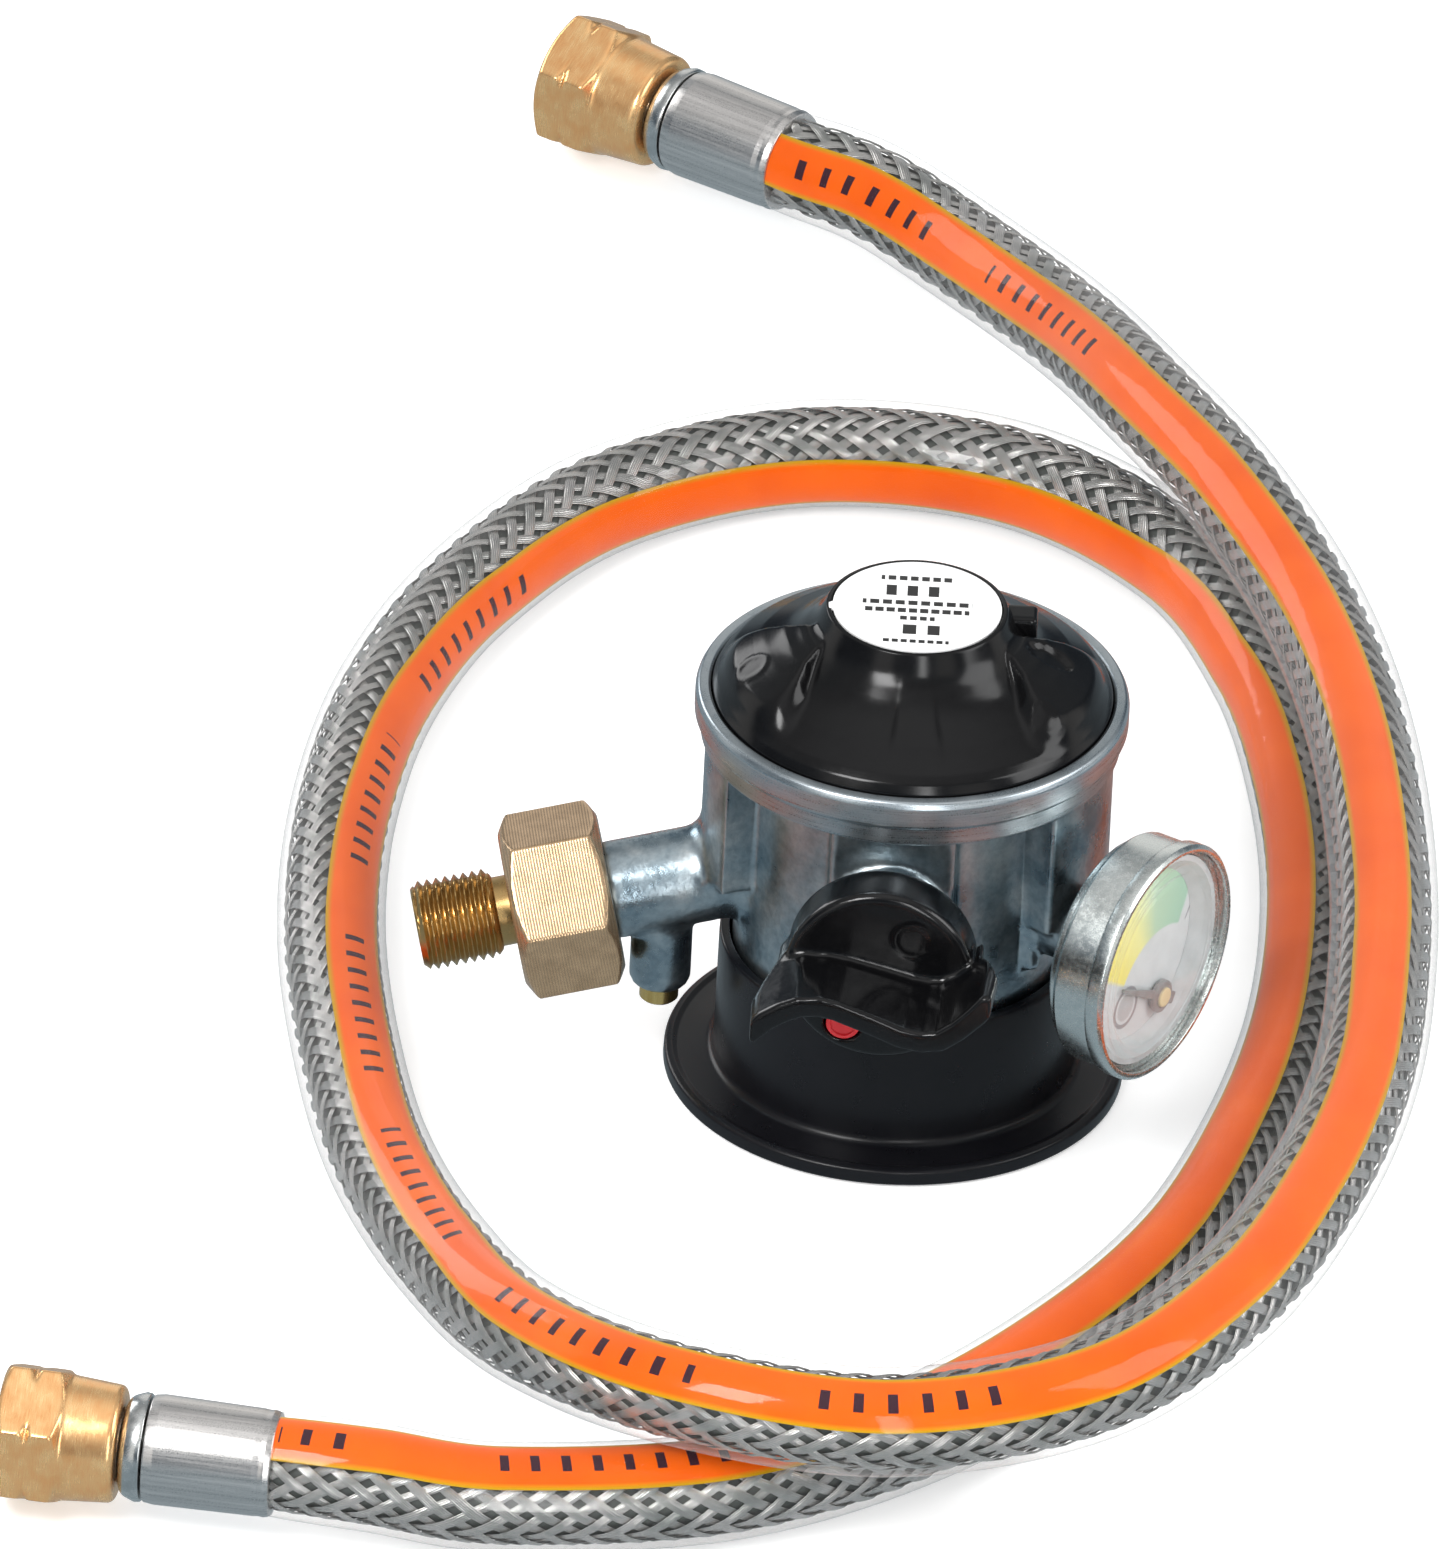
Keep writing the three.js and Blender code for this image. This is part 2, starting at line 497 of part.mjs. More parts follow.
// The crimped ferrule, tail piece and swivel nut at one end, with local +Z away from the hose.
function hoseFitting(letter, azimuth, mouth) {
  const group = sideGroup(azimuth, 0);
  group.position.set(...mouth);
  const { ferrule, collar, nutFlats, nutLength, hexLength } = FITTING;
  const collarStart = ferrule + GAP;
  const nutStart = collarStart + collar + GAP;
  const nutEnd = nutStart + nutLength;
  const hexStart = nutEnd - hexLength;
  const collarEnd = nutStart - GAP;
  const tail = turned([
    [3.2, GAP + 1], [4.2, GAP + 1], [4.5, 4], [4.5, collarStart], [7, collarStart],
    [FITTING.outer, collarStart + 0.9], [FITTING.outer, collarEnd - 0.9], [7, collarEnd],
    [FITTING.neck, collarEnd], [FITTING.neck, nutStart + 5], [6.2, nutStart + 5.3], [6.2, nutStart + 6.8],
    [4, nutStart + 9.4], [3.2, nutStart + 9.4],
  ]);
  const nut = carved(
    [rod(8.5, nutStart, hexStart + 1, SIDES.medium), hexBar(nutFlats, hexStart, nutEnd)],
    [rod(FITTING.neck + GAP, nutStart - 1, nutStart + 5, SIDES.medium),
      rod(FITTING.thread, nutStart + 4.7, nutEnd + 1, SIDES.medium)]);
  group.add(
    piece(`ferrule_${letter}`, tube(HOSE.bore, FITTING.outer, 2 * GAP, ferrule), steel),
    piece(`hose_tail_${letter}`, tail, steel),
    piece(`swivel_nut_${letter}`, nut, brass),
  );
  return group;
}
hose.add(
  hoseFitting('a', HOSE_END_AZIMUTH.a, HOSE_ROUTE[0]),
  hoseFitting('b', HOSE_END_AZIMUTH.b, HOSE_ROUTE[HOSE_ROUTE.length - 1]),
);

const part = new THREE.Group();
part.add(regulator, hose);
export default part;
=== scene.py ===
# Looks for the clip-on LPG regulator and its loose braided gas hose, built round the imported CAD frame.
# Shapes are worked out in millimetres and scaled when a mesh is made.
# Places come from the frame's boxes and joints.

import json
import math

import bmesh
import bpy
import numpy as np
import openvdb as vdb
from mathutils import Matrix, Vector


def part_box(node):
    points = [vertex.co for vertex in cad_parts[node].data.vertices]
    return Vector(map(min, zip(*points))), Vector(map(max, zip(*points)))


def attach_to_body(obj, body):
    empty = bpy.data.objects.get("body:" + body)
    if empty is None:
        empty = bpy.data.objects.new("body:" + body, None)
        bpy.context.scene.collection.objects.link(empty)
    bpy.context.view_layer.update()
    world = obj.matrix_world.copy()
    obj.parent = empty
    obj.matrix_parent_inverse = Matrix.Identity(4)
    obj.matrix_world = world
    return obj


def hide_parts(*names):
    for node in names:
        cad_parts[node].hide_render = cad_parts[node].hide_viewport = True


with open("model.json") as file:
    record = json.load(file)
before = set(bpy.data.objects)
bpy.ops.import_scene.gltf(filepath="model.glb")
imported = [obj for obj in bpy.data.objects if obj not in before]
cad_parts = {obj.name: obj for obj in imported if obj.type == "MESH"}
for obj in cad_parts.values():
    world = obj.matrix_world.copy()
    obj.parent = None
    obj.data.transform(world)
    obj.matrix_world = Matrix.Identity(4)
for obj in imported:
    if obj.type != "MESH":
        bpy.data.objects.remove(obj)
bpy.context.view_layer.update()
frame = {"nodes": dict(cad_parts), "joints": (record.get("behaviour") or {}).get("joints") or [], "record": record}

MM = 0.001
JOINTS = {joint["name"]: joint for joint in frame["joints"]}
ring_low, ring_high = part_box("lock_ring")
AXIS = (ring_low + ring_high) / 2 / MM
AXIS.z = 0


# -------- local frames

def outward_frame(outward, height=0.0, origin=AXIS):
    """Local +Z points outwards, +Y up and +X to the right as seen from outside."""
    z_way = Vector(outward).normalized()
    x_way = Vector((0, 0, 1)).cross(z_way).normalized()
    turn = Matrix((x_way, z_way.cross(x_way), z_way)).transposed().to_4x4()
    return Matrix.Translation(origin + Vector((0, 0, height))) @ turn


def joint_frame(name):
    """The outward frame of a joint, its origin where the joint's line passes over the regulator's axis."""
    axis = Vector(JOINTS[name]["axis"])
    place = Vector(JOINTS[name]["pos_m"]) / MM - AXIS
    return outward_frame(axis, place.z - axis.z * place.xy.length / axis.xy.length)


UPRIGHT = Matrix.Translation(AXIS)
OUTLET = joint_frame("union_nut_spin")
CONTROL = joint_frame("knob_turn")
PIVOT = Vector(JOINTS["needle_swing"]["pos_m"]) / MM
case_low, case_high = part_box("gauge_case")
GAUGE = outward_frame(JOINTS["needle_swing"]["axis"], (case_low.z + case_high.z) / 2 / MM)


# -------- mesh helpers

def moved(points, matrix):
    """An array of points through a 4 by 4 matrix."""
    m = np.array(matrix)
    return np.asarray(points, float) @ m[:3, :3].T + m[:3, 3]


def new_piece(name, points, faces, material, body, slot, matrix=None, sharp=32, replaces=()):
    """A smooth mesh with sharp edges over an angle, in the row frame, riding on a body."""
    if matrix is not None:
        points = moved(points, matrix)
    mesh = bpy.data.meshes.new(name)
    mesh.from_pydata((np.asarray(points) * MM).tolist(), [], [list(face) for face in faces])
    mesh.validate()
    mesh.shade_smooth()
    mesh.set_sharp_from_angle(angle=math.radians(sharp))
    piece = bpy.data.objects.new(name, mesh)
    bpy.context.scene.collection.objects.link(piece)
    mesh.materials.append(material)
    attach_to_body(piece, body)
    if replaces:
        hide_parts(*replaces)
    return piece


FILLET_STEPS = 5


def rounded(outline):
    """An outline of [a, b] or [a, b, fillet] points, closed on itself, with the fillets drawn as arcs."""
    done = []
    count = len(outline)
    for i, point in enumerate(outline):
        here = np.array(point[:2], float)
        if len(point) < 3:
            done.append(here)
            continue
        before = np.array(outline[i - 1][:2], float) - here
        after = np.array(outline[(i + 1) % count][:2], float) - here
        u, v = before / np.linalg.norm(before), after / np.linalg.norm(after)
        half = math.acos(np.clip(u @ v, -1, 1)) / 2
        reach = point[2] / math.tan(half)
        centre = here + (u + v) / np.linalg.norm(u + v) * point[2] / math.sin(half)
        start, end = here + u * reach - centre, here + v * reach - centre
        sweep = math.pi - 2 * half
        for t in np.linspace(0, 1, FILLET_STEPS + 1):
            arc = (start * math.sin((1 - t) * sweep) + end * math.sin(t * sweep)) / math.sin(sweep)
            done.append(centre + arc)
    return np.array(done)


def ring_faces(rows, columns, closed_rows=True):
    """Quads of a grid of rows by columns that closes along its columns, and along its rows if asked."""
    faces = []
    for i in range(rows if closed_rows else rows - 1):
        a, b = i * columns, (i + 1) % rows * columns
        for j in range(columns):
            k = (j + 1) % columns
            faces.append((a + j, b + j, b + k, a + k))
    return faces


MEETING = 1e-4                   # points this near to each other are one


def clean(points, faces):
    """Points and faces with meeting points merged, so that an outline may touch the axis."""
    mesh = bpy.data.meshes.new("clean")
    mesh.from_pydata(np.asarray(points).tolist(), [], faces)
    work = bmesh.new()
    work.from_mesh(mesh)
    bmesh.ops.remove_doubles(work, verts=work.verts, dist=MEETING)
    bmesh.ops.recalc_face_normals(work, faces=work.faces)
    points = [vert.co[:] for vert in work.verts]
    faces = [[vert.index for vert in face.verts] for face in work.faces]
    work.free()
    bpy.data.meshes.remove(mesh)
    return points, faces


def turned_piece(name, outline, sides, material, body, slot, matrix, sharp=32, replaces=()):
    """A body of revolution about a frame's +Z, from its closed outline of (radius, height)."""
    outline = rounded(outline)
    angle = np.linspace(0, 2 * math.pi, sides, endpoint=False)
    radius, height = outline[:, :1], outline[:, 1:]
    points = np.stack([radius * np.cos(angle), radius * np.sin(angle), height + 0 * angle], axis=-1)
    points, faces = clean(points.reshape(-1, 3), ring_faces(len(outline), sides))
    piece = new_piece(name, points, faces, material, body, slot, matrix, sharp, replaces)
    add_local(piece, matrix)
    return piece


def add_value(piece, name, values):
    """A number at each vertex that a material can read."""
    attribute = piece.data.attributes.new(name, "FLOAT", "POINT")
    attribute.data.foreach_set("value", np.asarray(values, np.float32).ravel())


def add_local(piece, matrix):
    """Where each vertex is in a frame of its own, in millimetres, for grain that follows the shape."""
    points = np.array([vert.co[:] for vert in piece.data.vertices]) / MM
    attribute = piece.data.attributes.new("local", "FLOAT_VECTOR", "POINT")
    attribute.data.foreach_set("vector", moved(points, matrix.inverted()).astype(np.float32).ravel())


# -------- materials

def new_material(name):
    """A material and its node tree, with only the Principled shader and the output."""
    material = bpy.data.materials.new(name)
    material.use_nodes = True
    tree = material.node_tree
    return material, tree, tree.nodes["Principled BSDF"]


def attach(tree, node, **values):
    """Fill sockets by name, with underscores for spaces, from numbers, colours or other nodes' outputs."""
    for key, value in values.items():
        socket = node.inputs[key.replace("_", " ")]
        value = value.socket if isinstance(value, Number) else value
        if isinstance(value, bpy.types.NodeSocket):
            tree.links.new(value, socket)
        else:
            is_colour = isinstance(value, tuple) and len(socket.default_value) == 4
            socket.default_value = (*value, 1.0) if is_colour else value


def stretched(tree, vector, stretch):
    mapping = tree.nodes.new("ShaderNodeMapping")
    attach(tree, mapping, Vector=vector, Scale=stretch)
    return mapping.outputs["Vector"]


def object_place(tree, stretch=(1, 1, 1)):
    """Texture coordinates in the row frame."""
    return stretched(tree, tree.nodes.new("ShaderNodeTexCoord").outputs["Object"], stretch)


def local_place(tree, stretch=(1, 1, 1)):
    """Texture coordinates in the piece's own frame, in millimetres, as add_local stored them."""
    node = tree.nodes.new("ShaderNodeAttribute")
    node.attribute_name = "local"
    return stretched(tree, node.outputs["Vector"], stretch)


def local_axes(tree):
    split = tree.nodes.new("ShaderNodeSeparateXYZ")
    tree.links.new(local_place(tree), split.inputs[0])
    return [Number(tree, split.outputs[k]) for k in range(3)]


def read_value(tree, name):
    """A number that add_value stored at the vertices."""
    node = tree.nodes.new("ShaderNodeAttribute")
    node.attribute_name = name
    return Number(tree, node.outputs["Fac"])


class Number:
    """A number worked out by a material's nodes."""

    def __init__(self, tree, socket):
        self.tree, self.socket = tree, socket

    def apply(self, operation, *others):
        node = self.tree.nodes.new("ShaderNodeMath")
        node.operation = operation
        for entry, value in zip(node.inputs, (self, *others)):
            if isinstance(value, Number):
                self.tree.links.new(value.socket, entry)
            else:
                entry.default_value = value
        return Number(self.tree, node.outputs["Value"])

    def __add__(self, other):
        return self.apply("ADD", other)

    def __sub__(self, other):
        return self.apply("SUBTRACT", other)

    def __mul__(self, other):
        return self.apply("MULTIPLY", other)

    def __abs__(self):
        return self.apply("ABSOLUTE")

    def __lt__(self, other):
        return self.apply("LESS_THAN", other)

    def __gt__(self, other):
        return self.apply("GREATER_THAN", other)

    def remap(self, low, high, to_low, to_high):
        node = self.tree.nodes.new("ShaderNodeMapRange")
        attach(self.tree, node, Value=self, From_Min=low, From_Max=high, To_Min=to_low, To_Max=to_high)
        return Number(self.tree, node.outputs["Result"])

    def ramp(self, *stops):
        """The colour at this place on a ramp of (place, colour) stops."""
        node = self.tree.nodes.new("ShaderNodeValToRGB")
        elements = node.color_ramp.elements
        while len(elements) < len(stops):
            elements.new(0.5)
        for element, (place, colour) in zip(elements, stops):
            element.position = place
            element.color = (*colour, 1.0)
        self.tree.links.new(self.socket, node.inputs["Fac"])
        return node.outputs["Color"]


def noise(tree, vector, scale, detail=4.0, rough=0.55):
    node = tree.nodes.new("ShaderNodeTexNoise")
    attach(tree, node, Vector=vector, Scale=scale, Detail=detail, Roughness=rough)
    return Number(tree, node.outputs["Fac"])


def length(a, b):
    return (a * a + b * b).apply("SQRT")


def mix_colour(tree, fac, a, b, blend="MIX"):
    node = tree.nodes.new("ShaderNodeMix")
    node.data_type, node.blend_type = "RGBA", blend
    attach(tree, node, Factor=fac, A=a, B=b)
    return next(out for out in node.outputs if out.type == "RGBA")


def mix_shader(tree, fac, first, second):
    node = tree.nodes.new("ShaderNodeMixShader")
    attach(tree, node, Fac=fac)
    for place, shader in enumerate((first, second), start=1):
        tree.links.new(shader.outputs[0], node.inputs[place])
    return node


def show(tree, shader):
    tree.links.new(shader.outputs[0], tree.nodes["Material Output"].inputs["Surface"])


def bump(tree, shader, height, distance_mm, strength):
    node = tree.nodes.new("ShaderNodeBump")
    attach(tree, node, Strength=strength, Distance=distance_mm * MM, Height=height)
    tree.links.new(node.outputs["Normal"], shader.inputs["Normal"])


def cast_zinc():
    """Blue-grey die casting: cloudy tone, fine pitting and a soft shine."""
    material, tree, shader = new_material("cast_zinc")
    place = object_place(tree)
    clouds, grain = noise(tree, place, 90, 6, 0.6), noise(tree, place, 900, 3, 0.6)
    tone = clouds.ramp((0.32, (0.22, 0.31, 0.37)), (0.5, (0.46, 0.54, 0.58)), (0.70, (0.70, 0.73, 0.73)))
    speckle = grain.ramp((0.35, (0.72, 0.74, 0.76)), (0.6, (1.0, 1.0, 1.0)))
    colour = mix_colour(tree, 0.7, tone, speckle, "MULTIPLY")
    attach(tree, shader, Base_Color=colour, Roughness=clouds.remap(0.3, 0.7, 0.22, 0.40), Metallic=1.0)
    bump(tree, shader, grain + clouds * 1.5, 0.10, 0.55)
    return material


def metal(name, tones, rough, stretch=(1, 1, 1), scale=300, bump_mm=0.02):
    """A bare metal with a grain that can be stretched into a brushed one."""
    material, tree, shader = new_material(name)
    grain = noise(tree, object_place(tree, stretch), scale, 5, 0.6)
    attach(tree, shader, Base_Color=grain.ramp((0.3, tones[0]), (0.7, tones[1])), Metallic=1.0,
           Roughness=grain.remap(0.3, 0.7, *rough))
    bump(tree, shader, grain, bump_mm, 0.5)
    return material


def moulded(name, colour, rough=(0.2, 0.3), scale=400, bump_mm=0.015, shine=0.5):
    """A moulded plastic or rubber with a faint skin texture."""
    material, tree, shader = new_material(name)
    grain = noise(tree, object_place(tree), scale, 4, 0.6)
    darker = tuple(0.8 * value for value in colour)
    attach(tree, shader, Base_Color=grain.ramp((0.3, darker), (0.7, colour)), Specular_IOR_Level=shine,
           Roughness=grain.remap(0.3, 0.7, *rough))
    bump(tree, shader, grain, bump_mm, 0.6)
    return material


def spotted_steel(name, tones, rough, streak=(1, 1, 1), spot=1.1, bump_mm=0.003):
    """Plated steel with a fine spangle, its grain drawn out in the shape's own frame."""
    material, tree, shader = new_material(name)
    streaks = noise(tree, local_place(tree, streak), spot, 5, 0.65)
    both = streaks * 0.62 + noise(tree, local_place(tree), 5.5, 3, 0.6) * 0.38
    attach(tree, shader, Base_Color=both.ramp((0.36, tones[0]), (0.62, tones[1])), Metallic=1.0,
           Roughness=both.remap(0.35, 0.65, *rough))
    bump(tree, shader, both, bump_mm, 0.6)
    return material


zinc = cast_zinc()
gloss_black = moulded("gloss_black", (0.006, 0.006, 0.007), (0.16, 0.24), 500, 0.012, 0.3)
brass = metal("brass", ((0.62, 0.40, 0.20), (0.80, 0.56, 0.30)), (0.22, 0.34), scale=250)
plated = metal("plated_steel", ((0.55, 0.56, 0.57), (0.78, 0.79, 0.80)), (0.16, 0.34), scale=260)
spring_wire = metal("spring_wire", ((0.30, 0.31, 0.33), (0.46, 0.47, 0.49)), (0.28, 0.40))
rubber = moulded("rubber", (0.022, 0.022, 0.023), (0.6, 0.8), 300, 0.03)
red_plastic = moulded("red_plastic", (0.62, 0.012, 0.02), (0.3, 0.4), 400, 0.02)
white_print = moulded("white_print", (0.86, 0.86, 0.85), (0.45, 0.55), 300, 0.006)

CAD_MATERIALS = {
    "cast_zinc": zinc, "black_plastic": gloss_black, "brass": brass, "plated_steel": plated,
    "spring_steel": spring_wire, "rubber": rubber, "red_plastic": red_plastic, "label": white_print,
    "dial": white_print, "lens": white_print, "hose_cover": rubber,
}
for part in frame["record"]["subparts"]:
    node = frame["nodes"][part["node"]]
    node.data.materials.clear()
    node.data.materials.append(CAD_MATERIALS[part["material_slot"]])
    node.data.shade_smooth()
    node.data.set_sharp_from_angle(angle=math.radians(34))


# -------- camera

FRAME_PIXELS = (1440, 1549)
PIXEL = 0.146                    # millimetres of the object to one pixel of the frame
ELEVATION = math.radians(32)
ROLL = math.radians(3)
FAR = 9500                       # a long way off, so that the view has little perspective
AIM = (-25.2, 42.3)              # from the foot of the regulator to the middle of the frame, right and up

view_up = Vector((0, math.sin(ELEVATION), math.cos(ELEVATION)))
to_viewer = Vector((0, -math.cos(ELEVATION), math.sin(ELEVATION)))
frame_right = math.cos(ROLL) * Vector((1, 0, 0)) + math.sin(ROLL) * view_up
frame_up = math.cos(ROLL) * view_up - math.sin(ROLL) * Vector((1, 0, 0))

bpy.context.scene.view_settings.view_transform = "Standard"
camera = bpy.data.objects.new("camera", bpy.data.cameras.new("camera"))
bpy.context.scene.collection.objects.link(camera)
bpy.context.scene.camera = camera
target = AXIS + AIM[0] * frame_right + AIM[1] * frame_up
turn = Matrix((frame_right, frame_up, to_viewer)).transposed().to_4x4()
camera.matrix_world = Matrix.Translation((target + FAR * to_viewer) * MM) @ turn
camera.data.sensor_width = 36
camera.data.lens = 36 * FAR / (PIXEL * max(FRAME_PIXELS))
camera.data.clip_start = 0.01
camera.data.clip_end = 50


# -------- hose

HOSE_RADIUS = 8.0                # outside of the clear sleeve
BRAID_RADIUS = 6.55              # middle of the two layers of wires
CORE_RADIUS = 5.95
# The centre line from end A to end B, from the regulator's axis, in millimetres.
HOSE_ROUTE = [
    (-21, 232, 11.2), (-9, 224.5, 11.2), (4, 211.5, 10.5), (21, 184, 14.5), (33, 154, 21), (46, 125, 24),
    (58, 94, 24), (65.5, 63, 23.8), (69.5, 30, 23.8), (70.5, -2, 23.8), (68.5, -35, 23.8),
    (61.5, -67, 23.8), (50, -97, 24), (31, -123, 24.5), (2, -135.5, 24.6), (-29, -129.5, 24.2),
    (-51, -107, 18.5), (-64, -77, 12), (-74, -46, 8.8), (-80, -14, 8.1), (-83, 18, 8.1), (-82, 51, 8.1),
    (-76.5, 83, 8.1), (-65, 113, 8.1), (-45.5, 140, 8.1), (-17, 155, 8.1), (14, 152, 8.1),
    (38.5, 131, 8.1), (51.5, 101, 8.1), (58, 69, 8.1), (60.5, 37, 8.1), (59, 4, 8.1), (53, -28, 8.1),
    (43, -59, 8.1), (27, -87, 8.1), (6, -111.5, 8.1), (-21, -129, 8.1), (-53, -136.5, 9),
    (-72, -136.5, 11.1), (-85.4, -134.5, 11.2),
]
# How far the stripe leans to the right of travel at some of the route's points: (point, sine of the lean).
STRIPE_LEAN = [
    (0, 0.1), (3, 0.1), (6.5, 0.0), (8.5, 0.05), (10, 0.1), (12, 0.2), (14, 0.36), (16, 0.42), (20, 0.5),
    (23, 0.6), (25, 0.66), (27, 0.65), (29, 0.5), (31, 0.6), (33, 0.56), (35, 0.6), (37, 0.67), (39, 0.6),
]


class Route:
    """A smooth line through points, sampled evenly, with a frame that doesn't twist."""

    def __init__(self, points, step, reach):
        knots = np.array(points, float)
        first, last = 2 * knots[0] - knots[1], 2 * knots[-1] - knots[-2]
        p = np.vstack([first, knots, last])
        fine, where = [], []
        for i in range(1, len(p) - 2):
            for t in np.linspace(0, 1, 40, endpoint=False):
                m0, m1 = (p[i + 1] - p[i - 1]) / 2, (p[i + 2] - p[i]) / 2
                a, b = 2 * t ** 3 - 3 * t ** 2 + 1, t ** 3 - 2 * t ** 2 + t
                c, d = 3 * t ** 2 - 2 * t ** 3, t ** 3 - t ** 2
                fine.append(a * p[i] + b * m0 + c * p[i + 1] + d * m1)
                where.append(i - 1 + t)
        fine.append(knots[-1])
        where.append(len(knots) - 1)
        fine = np.array(fine)
        ends = fine[[0, -1]] - fine[[1, -2]]
        ends *= reach / np.linalg.norm(ends, axis=1, keepdims=True)
        fine = np.vstack([fine[0] + ends[0], fine, fine[-1] + ends[1]])
        where = [0, *where, where[-1]]
        run = np.concatenate([[0], np.cumsum(np.linalg.norm(np.diff(fine, axis=0), axis=1))])
        self.length = run[-1]
        count = int(round(self.length / step)) + 1
        self.run = np.linspace(0, self.length, count)
        self.points = np.stack([np.interp(self.run, run, fine[:, k]) for k in range(3)], axis=1)
        self.knot = np.interp(self.run, run, where)
        along = np.gradient(self.points, axis=0)
        self.along = along / np.linalg.norm(along, axis=1, keepdims=True)
        side = np.cross(self.along[0], (0, 0, 1))
        sides = []
        for way in self.along:
            side = side - way * (side @ way)
            side = side / np.linalg.norm(side)
            sides.append(side)
        self.side = np.array(sides)
        self.up = np.cross(self.side, self.along)

    def around(self, run, radius, angle):
        """Points at a distance along the line, and at a radius and angle round it, from arrays of these."""
        def read(values):
            return np.stack([np.interp(run, self.run, values[:, k]) for k in range(3)], axis=-1)
        angle, radius = np.asarray(angle)[..., None], np.asarray(radius)[..., None]
        return read(self.points) + radius * (np.cos(angle) * read(self.side) + np.sin(angle) * read(self.up))

    def angle_of(self, directions):
        """The angle, in the untwisted frame, of a direction at each sample."""
        across = np.sum(directions * self.side, axis=1)
        upward = np.sum(directions * self.up, axis=1)
        return np.unwrap(np.arctan2(upward, across))


ROUTE_POINTS = [Vector(point) + AXIS for point in HOSE_ROUTE]
route = Route(ROUTE_POINTS, step=1.2, reach=0.6)


def capped_tube(rows, columns):
    """Faces of a closed tube whose rows run along it, with a flat face at each end."""
    faces = ring_faces(rows, columns, closed_rows=False)
    faces.append(tuple(reversed(range(columns))))
    faces.append(tuple(range((rows - 1) * columns, rows * columns)))
    return faces


def wire_material():
    """Bright wires laid side by side in a flat band, with painted shade in the grooves between them."""
    material, tree, shader = new_material("braid_wire")
    wires = 5
    wave = (read_value(tree, "across") * (wires * 2 * math.pi)).apply("SINE")
    clouds = noise(tree, object_place(tree), 160, 3)
    tone = clouds.ramp((0.3, (0.36, 0.37, 0.35)), (0.7, (0.66, 0.63, 0.61)))
    # Painted shade: the colour darkens to grey where the sine dips, in the grooves between the wires.
    tone_with_painted_shade = mix_colour(tree, wave.remap(-1, 0.2, 0.45, 1.0), (0.20, 0.20, 0.20), tone)
    attach(tree, shader, Base_Color=tone_with_painted_shade, Metallic=0.75, Roughness=0.27)
    bump(tree, shader, wave, 0.05, 0.6)
    return material


def clear_skin(name, tint, haze_low, haze_high, gloss, bump_mm):
    """Clear plastic or glass as a thin skin: see-through face on, milky towards its edges, and glossy."""
    material, tree, shader = new_material(name)
    attach(tree, shader, Base_Color=tint, Roughness=0.22)
    layer = tree.nodes.new("ShaderNodeLayerWeight")
    attach(tree, layer, Blend=0.5)
    facing = Number(tree, layer.outputs["Facing"])
    haze = facing.apply("POWER", 3.0).remap(0, 1, haze_low, haze_high)
    milky = mix_shader(tree, haze, tree.nodes.new("ShaderNodeBsdfTransparent"), shader)
    shine = tree.nodes.new("ShaderNodeBsdfGlossy")
    attach(tree, shine, Roughness=gloss)
    bump(tree, shine, noise(tree, object_place(tree), 130, 2), bump_mm, 0.35)
    glint = facing.apply("POWER", 5.0).remap(0, 1, 0.022, 0.30)
    show(tree, mix_shader(tree, glint, milky, shine))
    return material


def stripe_material():
    """Orange film, darker along its edges, with rows of plain printed ticks."""
    material, tree, shader = new_material("orange_stripe")
    off_middle, run = abs(read_value(tree, "across") - 0.5), read_value(tree, "run")
    clouds = noise(tree, object_place(tree), 60, 3)
    body = clouds.ramp((0.3, (0.66, 0.085, 0.001)), (0.7, (0.74, 0.112, 0.002)))
    orange = mix_colour(tree, off_middle.remap(0.39, 0.48, 1.0, 0.0), (0.42, 0.24, 0.004), body)
    # Ticks: short bars, dropped out here and there by a slow wave so that they come in groups.
    bar = (run * (1 / TICK_PITCH)).apply("FRACT") < 0.3
    group = ((run * 0.11).apply("SINE") > -0.6) * (read_value(tree, "printed") > 0.5)
    ink = bar * group * (off_middle < 0.17)
    colour = mix_colour(tree, ink, orange, (0.035, 0.012, 0.02))
    attach(tree, shader, Base_Color=colour, Roughness=0.35, Specular_IOR_Level=0.06)
    return material


TICK_PITCH = 4.6
SQUEEZE, SQUEEZE_REACH = 0.04, 6.0     # the hose narrows a little where the ferrules grip it
BANDS = 12                             # bands of wires in each direction
LEAD = 59.0                            # length of one turn of a band
BAND_WIDTH = 1.5
WEAVE = 0.30                           # how far a band rises over and dips under the other layer
BAND_SECTION = [
    (-0.5, 0.0), (-0.26, 0.11), (0.0, 0.15), (0.26, 0.11), (0.5, 0.0), (0.35, -0.14), (-0.35, -0.14),
]


def squeeze(run):
    """How much of the radius is left at a distance along the hose."""
    return 1 - SQUEEZE * np.exp(-np.minimum(run, route.length - run) / SQUEEZE_REACH)


def straight_tube(name, radius, columns, material):
    """A tube of one radius along the whole route."""
    angle = np.linspace(0, 2 * math.pi, columns, endpoint=False)
    run, angle = np.meshgrid(route.run, angle, indexing="ij")
    points = route.around(run, radius * squeeze(run), angle).reshape(-1, 3)
    return new_piece(name, points, capped_tube(len(route.run), columns), material, "regulator", "hose_cover")


